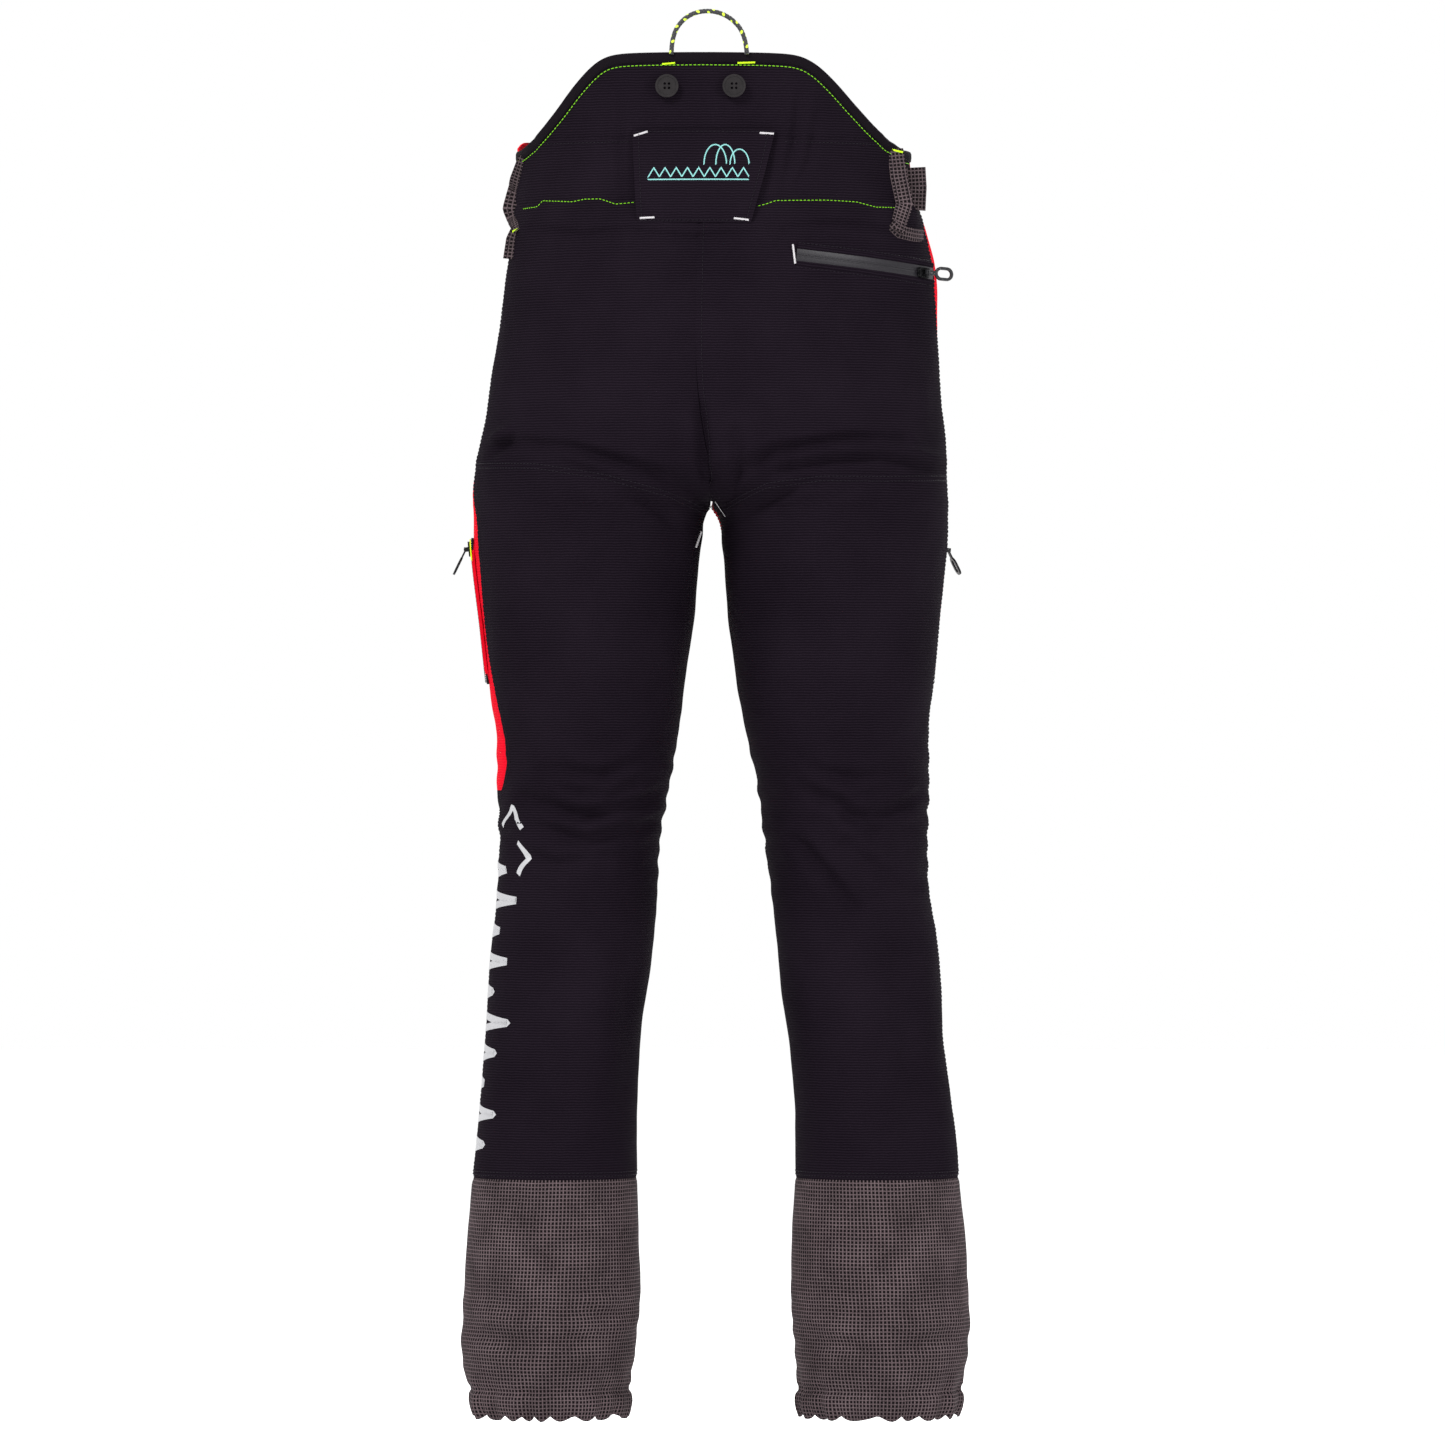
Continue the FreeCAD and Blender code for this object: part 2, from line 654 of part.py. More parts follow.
def make_leg(name, side):
    rows = [
        ("groin_front", front_panel, fold_line(0.0), fold_line(FOLD_HEIGHT)),
        ("groin_back", back_panel, fold_line(0.0), fold_line(FOLD_HEIGHT)),
        ("thigh_front", front_panel, fold_line(FOLD_HEIGHT), level(KNEE_FOLD_Z[0])),
        ("thigh_back", back_panel, fold_line(FOLD_HEIGHT), level(KNEE_FOLD_Z[0])),
        ("knee_front", front_panel, level(KNEE_FOLD_Z[0]), level(KNEE_FOLD_Z[1])),
        ("knee_back", back_panel, level(KNEE_FOLD_Z[0]), level(KNEE_FOLD_Z[1])),
        ("shin_front", front_panel, level(KNEE_FOLD_Z[1]), level(CUFF_Z)),
        ("calf_back", back_panel, level(KNEE_FOLD_Z[1]), level(CUFF_Z)),
    ]
    for part, make, top, bottom in rows:
        save(f"{part}_{name}", make(side, top, bottom))
    save(f"cuff_{name}", inside_panel(side, WHOLE_TURN, (CUFF_Z, HEM_Z), CLOTH))
    save(f"hem_elastic_{name}", inside_panel(side, WHOLE_TURN, ELASTIC_Z, ELASTIC))
    save(f"protective_pad_{name}", inside_panel(side, PAD_TURN, PAD_Z, PAD))
    save(f"lining_{name}", inside_panel(side, WHOLE_TURN, LINING_Z, LINING))


def main():
    os.makedirs("parts", exist_ok=True)
    make_flap_and_waistbands()
    make_hip_panels()
    make_pockets()
    make_buttons()
    make_loops()
    make_cord()
    make_zips()
    for name, side in SIDES.items():
        make_leg(name, side)


main()
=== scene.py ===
"""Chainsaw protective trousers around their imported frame.

Cloth is made on the same surface as the frame's panels, in millimetres, and written in metres.
Turn 0 is the centre front or inseam of a half, 0.5 its outer side and 1 its centre back or inseam.
"""
import math
import random

import bpy
import numpy as np
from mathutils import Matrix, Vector


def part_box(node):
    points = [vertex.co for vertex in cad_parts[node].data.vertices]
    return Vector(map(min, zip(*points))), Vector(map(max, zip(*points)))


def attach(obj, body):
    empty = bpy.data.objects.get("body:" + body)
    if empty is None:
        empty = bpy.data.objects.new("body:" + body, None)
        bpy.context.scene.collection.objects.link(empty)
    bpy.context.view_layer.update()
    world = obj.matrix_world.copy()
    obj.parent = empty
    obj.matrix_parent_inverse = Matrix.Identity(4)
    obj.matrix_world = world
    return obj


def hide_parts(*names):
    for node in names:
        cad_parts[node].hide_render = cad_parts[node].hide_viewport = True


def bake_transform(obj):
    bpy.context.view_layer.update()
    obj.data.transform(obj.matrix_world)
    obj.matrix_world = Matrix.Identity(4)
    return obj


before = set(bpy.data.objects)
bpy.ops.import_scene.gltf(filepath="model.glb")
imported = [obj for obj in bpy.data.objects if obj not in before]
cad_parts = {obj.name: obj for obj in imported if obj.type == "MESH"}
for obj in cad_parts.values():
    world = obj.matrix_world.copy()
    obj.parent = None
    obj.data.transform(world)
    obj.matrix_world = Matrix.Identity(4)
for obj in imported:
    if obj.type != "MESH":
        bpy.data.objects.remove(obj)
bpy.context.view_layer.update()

MM = 0.001
LEFT = -1
RIGHT = 1
SIDES = {"left": LEFT, "right": RIGHT}

# Heights
FLAP_TOP_Z = 81.0
FLAP_SEAM_Z = 9.0
WAIST_SEAM_Z = -45.0
CROTCH_Z = -310.0
MID_THIGH_Z = -488.0
RED_END_Z = -555.0
CUFF_Z = -892.0
HEM_Z = -1100.0

# Height, outer edge, inner edge of the ellipse, front and back of one half.
SECTIONS = [
    (90.0, 172.0, -172.0, 100.0, -100.0),
    (0.0, 171.0, -171.0, 105.0, -108.0),
    (-45.0, 176.0, -176.0, 108.0, -114.0),
    (-100.0, 186.0, -186.0, 110.0, -124.0),
    (-160.0, 191.0, -191.0, 110.0, -132.0),
    (-210.0, 197.0, -150.0, 108.0, -134.0),
    (-260.0, 203.0, -75.0, 104.0, -132.0),
    (-290.0, 205.0, -27.0, 100.0, -126.0),
    (-310.0, 206.0, 1.0, 98.0, -120.0),
    (-345.0, 206.0, 9.0, 98.0, -112.0),
    (-420.0, 198.0, 17.0, 98.0, -98.0),
    (-500.0, 191.0, 30.0, 95.0, -84.0),
    (-585.0, 187.0, 44.0, 90.0, -68.0),
    (-640.0, 189.0, 49.0, 84.0, -68.0),
    (-700.0, 194.0, 54.0, 74.0, -74.0),
    (-765.0, 199.0, 64.0, 66.0, -80.0),
    (-830.0, 206.0, 68.0, 60.0, -80.0),
    (-900.0, 212.0, 68.0, 58.0, -80.0),
    (-970.0, 219.0, 66.0, 58.0, -82.0),
    (-1040.0, 221.0, 69.0, 58.0, -82.0),
    (-1075.0, 216.0, 74.0, 54.0, -78.0),
    (-1105.0, 211.0, 78.0, 50.0, -74.0),
]
# Height, how far the garment hangs to the right, and the centre back seam's place beside that.
HANG = [
    (90.0, -3.0, -5.0),
    (0.0, 2.0, -10.0),
    (-100.0, 8.0, -20.0),
    (-200.0, 4.0, -16.0),
    (-290.0, 0.0, 0.0),
    (-420.0, 0.0, 0.0),
    (-585.0, 2.0, 0.0),
    (-900.0, 4.0, 0.0),
    (-1105.0, 3.5, 0.0),
]
# Height, and the turn of the side seam on the left and on the right.
SIDE_SEAM = [
    (90.0, 0.515, 0.50),
    (0.0, 0.515, 0.50),
    (-55.0, 0.515, 0.50),
    (-70.0, 0.48, 0.525),
    (-120.0, 0.47, 0.535),
    (-150.0, 0.47, 0.52),
    (-172.0, 0.47, 0.485),
    (-240.0, 0.49, 0.48),
    (-305.0, 0.52, 0.48),
    (-320.0, 0.54, 0.48),
    (-345.0, 0.543, 0.48),
    (-420.0, 0.529, 0.48),
    (-500.0, 0.565, 0.48),
    (-545.0, 0.565, 0.48),
    (-590.0, 0.48, 0.48),
    (-1105.0, 0.48, 0.48),
]
FLAP_LEVEL = 84.0
FLAP_FOOT = 168.0
FLAP_ROUND = 13.0
INSEAM_TURN = 0.035

# Cloth
CLOTH_STEP = 3.2
CLOTH_THICK = 1.4
SEAM_DIP = 1.0
SEAM_DIP_WIDTH = 2.6
SEAM_PUCKER = 0.22
SEAM_PUCKER_PITCH = 11.0
FOLD_DEPTH = 1.9
FINE_DEPTH = 1.5
DRAPE_SEED = 7
DRAPE_WAVES = [(150.0, 1.0), (80.0, 0.5), (34.0, 0.18)]
WAVES_EACH = 7
HIP_ROUND = 530.0
LEG_ROUND = 500.0
WAIST_RADIUS = 140.0
SEAM_ROUND = (480.0, 560.0)
PUCKER_WIDTH = 9.0
RIB_PITCH = 2.3
RIB_THREAD_PITCH = 1.1
RIPSTOP_PITCH = 3.3
# Middle height and reach of the fine folds at the knee, the groin and the ankle
FINE_FOLD_PLACES = ((-578.0, 62.0), (-292.0, 42.0), (-1030.0, 40.0))
FINE_PITCHES = (31.0, 19.0)
ZIP_CALM = 26.0
REAR_ZIP_CALM = 24.0
THIGH_ZIP_Z = (-336.0, -462.0)
THIGH_ZIP_TURN = {LEFT: 0.505, RIGHT: 0.447}
THIGH_ZIP_LIFT = 1.9
FLY_ZIP_Z = (-32.0, -165.0)
FLY_ZIP_LIFT = 2.1
GATHERS = 11
GATHER_Z = -1058.0
CHANNEL_Z = -1076.0
GATHER_DEPTH = 2.8
GATHER_HEM = 5.0

# Folds: points across and up, width, depth and the face of the garment they lie on
BACK = -1
FRONT = 1
FOLDS = [
    ([(-202, -259), (-161, -254), (-118, -260), (-62, -276), (-18, -292), (-3, -304)], 5.0, 3.0, BACK),
    ([(-188, -263), (-166, -245)], 4.0, 2.2, BACK),
    ([(-150, -264), (-120, -273), (-80, -291)], 5.0, 1.6, BACK),
    ([(25, -279), (56, -261), (121, -251), (165, -253)], 5.0, 2.6, BACK),
    ([(60, -279), (103, -269), (147, -266), (202, -277)], 4.5, 3.0, BACK),
    ([(30, -316), (52, -303), (80, -289)], 5.0, 2.2, BACK),
    ([(-32, -322), (-52, -306), (-72, -298)], 5.0, 1.8, BACK),
    ([(-9, -225), (-7, -260), (-6, -288)], 5.0, 2.4, BACK),
    ([(21, -246), (23, -270), (18, -298)], 5.0, 2.4, BACK),
    ([(-161, -562), (-114, -577), (-62, -565), (-40, -551)], 6.0, 3.4, BACK),
    ([(-153, -585), (-105, -598), (-53, -582)], 6.0, 2.8, BACK),
    ([(-131, -554), (-88, -560), (-49, -541)], 5.0, 2.4, BACK),
    ([(-176, -600), (-135, -619), (-92, -612)], 6.0, 1.8, BACK),
    ([(-60, -528), (-96, -541), (-140, -536)], 5.0, 1.6, BACK),
    ([(77, -554), (110, -566), (140, -591)], 6.0, 2.6, BACK),
    ([(72, -596), (95, -622), (126, -660)], 6.0, 2.6, BACK),
    ([(182, -558), (152, -574), (118, -578)], 5.0, 2.2, BACK),
    ([(86, -536), (122, -545), (160, -538)], 5.0, 1.6, BACK),
    ([(178, -640), (150, -628), (118, -604)], 6.0, 1.8, BACK),
    ([(-155, -68), (-110, -76), (-68, -71)], 4.0, 1.6, BACK),
    ([(-66, -74), (-20, -79), (38, -75)], 4.0, 1.6, BACK),
    ([(66, -70), (112, -66), (162, -72)], 4.0, 1.6, BACK),
    ([(-152, -330), (-146, -400), (-138, -470)], 15.0, 1.4, BACK),
    ([(132, -345), (140, -410), (142, -480)], 15.0, 1.4, BACK),
    ([(-74, -690), (-70, -770), (-80, -850)], 13.0, 1.3, BACK),
    ([(160, -690), (172, -770), (178, -850)], 13.0, 1.3, BACK),
    ([(-206, -1024), (-150, -1038), (-92, -1026)], 8.0, 2.2, BACK),
    ([(-120, -1002), (-92, -1010), (-74, -1004)], 6.0, 1.4, BACK),
    ([(84, -1030), (140, -1043), (204, -1029)], 8.0, 1.8, BACK),
    ([(-76, 50), (-79, 0), (-77, -44)], 3.4, 1.3, BACK),
    ([(78, 46), (72, 8), (62, -44)], 4.0, 1.5, BACK),
    ([(92, 30), (84, -10), (66, -48)], 3.4, 0.9, BACK),
    ([(-150, -572), (-115, -560), (-70, -574)], 8.0, 2.4, FRONT),
    ([(-155, -520), (-110, -512), (-66, -524)], 9.0, 1.6, FRONT),
    ([(150, -574), (112, -560), (72, -572)], 8.0, 2.4, FRONT),
    ([(156, -522), (112, -512), (66, -522)], 9.0, 1.6, FRONT),
    ([(-160, -250), (-110, -268), (-40, -300)], 7.0, 2.6, FRONT),
    ([(160, -252), (108, -270), (40, -300)], 7.0, 2.6, FRONT),
    ([(-130, -215), (-80, -240), (-20, -280)], 7.0, 1.8, FRONT),
    ([(130, -218), (78, -242), (22, -280)], 7.0, 1.8, FRONT),
    ([(-196, -1030), (-140, -1042), (-96, -1028)], 8.0, 1.8, FRONT),
    ([(96, -1032), (144, -1042), (204, -1028)], 8.0, 1.8, FRONT),
    ([(-110, -700), (-128, -780), (-130, -860)], 13.0, 1.2, FRONT),
    ([(116, -700), (132, -780), (142, -860)], 13.0, 1.2, FRONT),
]
# Sewn lines in the back cloth, across and up: the seat seams and the flap's darts
SEAT_SEAMS = [
    [(-204, -268), (-150, -270), (-90, -280), (-40, -294), (-8, -306)],
    [(206, -279), (150, -281), (95, -281), (50, -287), (14, -304)],
]
REAR_ZIP = [(73, -93), (130, -99), (190, -106)]
REAR_ZIP_BED = 2.2
REAR_ZIP_REACH = 12.0
DARTS = [[(-69, 52), (-71, -43)], [(72, 52), (75, -43)]]

# Threads
STITCH = 2.7
STITCH_GAP = 1.0
THREAD_RADIUS = 0.36
SHORTEST_THREAD = 1e-6
THREAD_ARCH = 0.25
# Each ring's share of the length, share of the radius and rise
THREAD_RINGS = [(0.0, 0.4, -1.2), (0.16, 0.95, 0.0), (0.5, 1.0, 1.0), (0.84, 0.95, 0.0), (1.0, 0.4, -1.2)]
FINE_THREAD = 0.3
TACK_WIDTH = 1.9
TACK_RADIUS = 0.3
TACK_SLANT = 0.105
ROW_STEP = 2.0
HALVINGS = 30
ALL_ROUND = (0.003, 0.997)

# The back patch and its mark
PATCH_TOP = (-67.0, 55.0, 15.5)
PATCH_FOOT = (-63.0, 34.0, -65.5)
PATCH_LIFT = (2.2, 6.3)
PATCH_TACKS = [
    ((-65.5, 10.0), (-54.0, 13.6)), ((41.5, 12.4), (53.5, 11.8)),
    ((-60.5, -61.5), (-48.0, -61.0)), ((19.5, -61.8), (32.0, -63.2)),
]
MARK_TEETH = 9
MARK_LEFT, MARK_RIGHT = -53.0, 32.0
MARK_LINE_Z = (-26.0, -18.0)
MARK_PEAKS = [(-6.0, 13.0, 17.0), (4.0, 20.0, 17.0), (16.0, 32.0, 13.0)]

# Zips
TOOTH_PITCH = 1.6
TOOTH_REACH = 2.1
TAPE_HALF = 9.0
TAPE_SLIT = 1.6
LIP_TAPER = 16.0
LIP_WIDTH = 6.4
GARAGE_ROWS = 10

# Linings, pads and the waist's edge, as depths in millimetres and angles from the centre back
LINING_DEPTH = 8.4
SIDE_ANGLES = (-0.485 * math.pi, 0.498 * math.pi)
FLAP_ANGLE = math.radians(80.0)
SIDE_RISE = 11.0
SIDE_RISE_ANGLES = (-0.72 * math.pi, -0.48 * math.pi)
PAD_DEPTH = 2.6
PAD_THICK = 4.4
PAD_TURNS = (0.08, 0.43)
PAD_Z = (-345.0, -880.0)
POCKET_DEPTH = 2.2
POCKET_THICK = 2.8
POCKET_TURNS = (0.2, 0.42)
POCKET_Z = (-58.0, -190.0)
POCKET_FOOT_Z = -186.0
REAR_POCKET_TURNS = (0.62, 0.86)
REAR_POCKET_Z = (-112.0, -205.0)
BINDING_END = math.radians(96.0)
BINDING_STEPS = 260
BINDING_SECTION = [
    (0.7, -7.4), (1.5, -7.0), (1.9, -4.0), (1.8, -0.6), (0.9, 1.3), (-0.8, 1.9), (-2.5, 1.3),
    (-3.3, -0.6), (-3.3, -6.0), (-2.6, -7.2), (-0.8, -7.4),
]
EDGE_ROW_END = math.radians(84.0)
EDGE_ROW_DROP = 9.4

# Rows of stitching across and up
WAIST_ROWS = [
    [(-163, -50), (-150, -49), (-146, -44), (-120, -46), (-110, -44), (-96, -44), (-82, -49), (-66, -47.5)],
    [(40, -51), (48, -49), (56, -46), (100, -45), (126, -46), (142, -50), (162, -49.5)],
]
SEAM_ROWS = [[(-158, 5), (-110, 5), (-72, 5)], [(60, 5), (110, 5), (156, 5)]]
FRONT_BAND_ROWS = (-41.0, -5.0)
CORD_TACKS = [((-42, 72.0), (-31, 73.0)), ((23, 73.0), (38, 73.6))]
CROTCH_TACK = ((7, -305), (12, -317))

# The print on the left shin
PRINT_TOP_Z = -614.0
PRINT_PITCH = 26.5
PRINT_START = -38.0
PRINT_REACHES = (36.0, 52.0, 30.0, 46.0, 24.0, 56.0, 40.0, 20.0, 48.0, 34.0)
PRINT_MARKS = [[(28, -586), (46, -569), (60, -588)], [(52, -600), (66, -614), (54, -628)]]
PRINT_WIDE = 6.2
MARK_WIDE = 4.6
PRINT_RAISE = 0.35
SHIN_ROUND = 450.0

# Front details and buttons
FRONT_LOOP_TURN = 0.28
FLY_STITCH_TURN = 0.075
BACK_BUTTONS = [(-38.0, 53.0), (20.0, 53.0)]
BUTTON_FACE = 4.0
FRONT_LOOP_Z = (-1.0, -66.0)
RIBBON_COLUMNS = 9
STRAP_ASIDE = 0.25
# Straps at the sides: rows of across, up, lift and width, the stitched width and the frame's node
SIDE_STRAPS = {
    "side_loop_right": (
        [(160, 2, 4, 14), (163, -22, 7, 15), (168, -46, 8, 15), (164, -60, 6, 14), (161, -70, 4, 14)],
        13, ("side_belt_loop_right",),
    ),
    "side_tab_right": (
        [(156, -64, 2.6, 10), (164, -71, 3, 11), (176, -73, 3, 11), (185, -73, 2.6, 11)], 10, (),
    ),
    "side_loop_left": (
        [(-163, -4, 3, 9), (-168, -24, 5, 15), (-173, -48, 6, 18), (-171, -58, 5, 14), (-168, -68, 3.4, 9)],
        12, ("side_belt_loop_left",),
    ),
    "side_tail_left": ([(-169, -66, 2.4, 9), (-172, -76, 3.0, 13), (-174, -93, 3.0, 14)], 11, ()),
}
SIDE_FOLD = [(-13, 0), (-30, 1), (-50, 0)]
SIDE_TACKS = [
    ((153.5, 2.0), (166.5, -1.0), 5.6), ((-168.0, -6.4), (-159.0, -3.4), 4.6),
    ((-172.5, -69.5), (-163.5, -65.0), 5.4),
]

# Camera, and the cord's route across and up
CAMERA_PLACE = (0.010, -9.0, -0.496)
CAMERA_LENS = 257.0
CORD_ROUTE = [
    (-0.034, 0.0806), (-0.034, 0.0966), (-0.022, 0.1136), (-0.003, 0.1191),
    (0.016, 0.1136), (0.030, 0.0976), (0.031, 0.0806),
]
CORD_RADIUS = 2.0
CORD_SIDES = 16

# Room, in metres
FLOOR_Z = -1.16
FLOOR_REACH = 12.0
# Each lamp's place, aim, size and power
LAMPS = {
    "key": ((-2.6, -3.6, 3.6), (0.0, 0.0, -0.5), 1.8, 265.0),
    "fill": ((2.4, -2.6, 0.8), (0.0, 0.0, -0.6), 1.4, 50.0),
    "back": ((0.8, 2.6, 2.0), (0.0, 0.0, -0.5), 1.6, 90.0),
}


# Shape of the garment


def walk(points):
    """How far each point of a line is along it."""
    return np.concatenate([[0.0], np.cumsum(np.linalg.norm(np.diff(points, axis=0), axis=-1))])


def sideways(points, outs):
    """Directions in the cloth, square to a line of points."""
    across = np.cross(outs, np.gradient(points, axis=0))
    return across / np.linalg.norm(across, axis=1, keepdims=True)


def along(places, line, *others):
    """Points at distances along a line, and rows of other numbers read at the same distances."""
    walked = walk(line)
    found = []
    for rows in (line, *others):
        found.append(np.stack([np.interp(places, walked, column) for column in rows.T], axis=-1))
    return found


def table_values(table, z, columns):
    """Columns of a table at many heights, on smooth curves through the rows."""
    rows = np.array(table)
    heights = rows[:, 0]
    z = np.asarray(z, float)
    index = np.clip(np.searchsorted(-heights, -z, side="right") - 1, 0, len(rows) - 2)
    before = np.maximum(np.arange(len(rows)) - 1, 0)
    after = np.minimum(np.arange(len(rows)) + 1, len(rows) - 1)
    slopes = (rows[after] - rows[before]) / (heights[after] - heights[before])[:, None]
    run = heights[index + 1] - heights[index]
    t = (z - heights[index]) / run
    rise = 3 * t**2 - 2 * t**3
    ease_in = t**3 - 2 * t**2 + t
    ease_out = t**3 - t**2
    found = []
    for column in columns:
        value = rows[index, column] * (1 - rise) + rows[index + 1, column] * rise
        value += run * (ease_in * slopes[index, column] + ease_out * slopes[index + 1, column])
        found.append(value)
    return found


def skin(side, turn, z):
    """Points of one half and their outward directions, for arrays of turns and heights."""
    turn, z = np.broadcast_arrays(np.asarray(turn, float), np.asarray(z, float))
    outer, inner, front, back = table_values(SECTIONS, z, (1, 2, 3, 4))
    shift, seam_shift = table_values(HANG, z, (1, 2))
    half_width = (outer - inner) / 2
    middle = (outer + inner) / 2
    half_depth = (front - back) / 2
    start = np.arccos(np.minimum(1.0, middle / half_width))
    angle = start + turn * (2 * math.pi - 2 * start)
    across = -np.cos(angle)
    along = np.sin(angle)
    x = middle + half_width * across
    y = (front + back) / 2 + half_depth * along
    out = np.stack([side * across / half_width, along / half_depth, np.zeros_like(x)], axis=-1)
    out /= np.linalg.norm(out, axis=-1, keepdims=True)
    shift = shift + np.where(turn > 0.5, seam_shift * (1 - x / outer), 0.0)
    return np.stack([side * x + shift, y, z], axis=-1), out


def side_seam(side, z):
    """The turn of the side seam at heights."""
    return table_values(SIDE_SEAM, z, (1 if side == LEFT else 2,))[0]


def inseam(z):
    """How far past turn 1 the back cloth reaches round the inside of the leg."""
    t = np.clip((CROTCH_Z + 6.0 - np.asarray(z, float)) / 50.0, 0, 1)
    return INSEAM_TURN * t * t * (3 - 2 * t)


def flap_edge(angle):
    """The height of the waist's top edge at angles from the centre back."""
    angle = np.abs(np.asarray(angle, float))
    along = SECTIONS[0][1] * np.sin(np.minimum(angle, math.pi / 2))
    past = along - FLAP_LEVEL
    past = (np.sqrt(past**2 + FLAP_ROUND**2) + past) / 2
    t = np.clip(past / (FLAP_FOOT - FLAP_LEVEL), 0.0, 1.0)
    edge = FLAP_TOP_Z * (1 - 0.5 * t - 0.5 * t * t * (3 - 2 * t))
    return np.where(angle < math.pi / 2, edge, 0.0)


def distance_to_line(x, z, line):
    """Signed distance from a line across and up, positive above it, and the share of its length."""
    best = np.full(x.shape, 1e9)
    signed = np.zeros_like(x)
    share = np.zeros_like(x)
    line = np.array(line, float)
    if line[-1, 0] < line[0, 0]:
        line = line[::-1]
    lengths = np.linalg.norm(np.diff(line, axis=0), axis=1)
    total = lengths.sum()
    walked = 0.0
    for start, end, length in zip(line, line[1:], lengths):
        way = (end - start) / length
        t = np.clip((x - start[0]) * way[0] + (z - start[1]) * way[1], 0, length)
        dx = x - start[0] - t * way[0]
        dz = z - start[1] - t * way[1]
        far = np.hypot(dx, dz)
        nearer = far < best
        best = np.where(nearer, far, best)
        signed = np.where(nearer, np.sign(way[0] * dz - way[1] * dx) * far, signed)
        share = np.where(nearer, (walked + t) / total, share)
        walked += length
    return signed, share


def fold_relief(points, out):
    """How far the folds lift the cloth: each is a crease with the cloth swelling above it."""
    lift = np.zeros(points.shape[:-1])
    x, z = points[..., 0], points[..., 2]
    for line, width, depth, face in FOLDS:
        facing = np.clip(1.8 * face * out[..., 1], 0, 1)
        far, share = distance_to_line(x, z, line)
        taper = np.sqrt(np.clip(np.sin(math.pi * (0.06 + 0.88 * share)), 0, 1))
        crease = -np.exp(-((far / width) ** 2))
        above = np.exp(-(((far - 1.9 * width) / (1.3 * width)) ** 2))
        below = 0.5 * np.exp(-(((far + 2.0 * width) / (1.5 * width)) ** 2))
        lift += FOLD_DEPTH * depth * (crease + above + below) * taper * facing
    return lift


def fine_folds(points):
    """Small slanting wrinkles at the crotch, behind the knees and at the ankles."""
    x, y, z = points[..., 0], points[..., 1], points[..., 2]
    reach = np.clip(1.35 - 0.012 * np.abs(x), 0.25, 1)
    places = zip(FINE_FOLD_PLACES, (1.0, reach, 0.6))
    amount = sum(share * np.exp(-(((z - middle) / tall) ** 2)) for (middle, tall), share in places)
    bend = 9.0 * np.sin(0.034 * x + 0.021 * y) + 5.0 * np.sin(0.071 * x + 1.3)
    first = np.sin((z + bend) * 2 * math.pi / FINE_PITCHES[0])
    slant = (z - 0.35 * np.abs(x) + 1.4 * bend) * 2 * math.pi / FINE_PITCHES[1]
    second = np.sin(slant + 0.6 * np.sin(0.09 * x))
    ease = 0.6 + 0.4 * np.sin(0.055 * x + 0.8)
    return amount * (0.9 * first * ease + 0.55 * second * (1.2 - ease)) * FINE_DEPTH


def calm(side, turn, points):
    """From 1 to 0 where a zip keeps the cloth smooth."""
    z = points[..., 2]
    share = np.ones(z.shape)
    for zip_turn, (top, bottom) in ((THIGH_ZIP_TURN[side], THIGH_ZIP_Z), (0.0, FLY_ZIP_Z)):
        off = np.abs(turn - zip_turn) * HIP_ROUND
        past = np.maximum(0, np.maximum(z - top, bottom - z))
        share *= 1 - np.exp(-((np.hypot(off, past) / ZIP_CALM) ** 4))
    if side == RIGHT:
        far = distance_to_line(points[..., 0], z, REAR_ZIP)[0]
        share *= 1 - np.exp(-((far / REAR_ZIP_CALM) ** 4)) * (turn > 0.5)
    return share


def drape_relief(points):
    """Broad uneven drape, from waves in many directions."""
    chance = random.Random(DRAPE_SEED)
    lift = np.zeros(points.shape[:-1])
    for length, depth in DRAPE_WAVES:
        for _ in range(WAVES_EACH):
            way = np.array([chance.gauss(0, 1), chance.gauss(0, 1), chance.gauss(0, 0.8)])
            way *= 2 * math.pi / (length * np.linalg.norm(way) * chance.uniform(0.7, 1.4))
            lift += depth / math.sqrt(WAVES_EACH) * np.sin(points @ way + chance.uniform(0, 2 * math.pi))
    return lift


def dip(far, width=SEAM_DIP_WIDTH):
    """A smooth bump, 1 at the middle of a seam."""
    return np.exp(-((far / width) ** 2))


def seam_relief(side, turn, points, out):
    """Seams pull the cloth in, and pucker it a little."""
    z = points[..., 2]
    round_mm = np.where(z > CROTCH_Z, *SEAM_ROUND)
    inner = inseam(z)
    middle = np.minimum(np.abs(turn - inner), np.abs(1 + inner - turn)) * round_mm
    seams = [(turn - side_seam(side, z)) * round_mm, middle]
    seams += [z - height for height in (FLAP_SEAM_Z, WAIST_SEAM_Z, CUFF_Z)]
    lift = -SEAM_DIP * sum(dip(far) for far in seams)
    near = sum(dip(far, PUCKER_WIDTH) for far in seams)
    back = np.clip(-2 * out[..., 1], 0, 1)
    for line in SEAT_SEAMS + DARTS:
        far = distance_to_line(points[..., 0], z, line)[0]
        lift -= 0.8 * SEAM_DIP * dip(far) * back
        near = near + 0.6 * dip(far, 8.0) * back
    if side == RIGHT:
        far = distance_to_line(points[..., 0], z, REAR_ZIP)[0]
        lift += REAR_ZIP_BED * np.exp(-((far / REAR_ZIP_REACH) ** 4)) * back
    around = np.arctan2(points[..., 0], points[..., 1]) * 120.0
    pucker = np.sin(2 * math.pi * (around + z) / SEAM_PUCKER_PITCH + 1.3 * np.sin(0.09 * z + 0.05 * around))
    return lift + SEAM_PUCKER * pucker * np.clip(near, 0, 1)


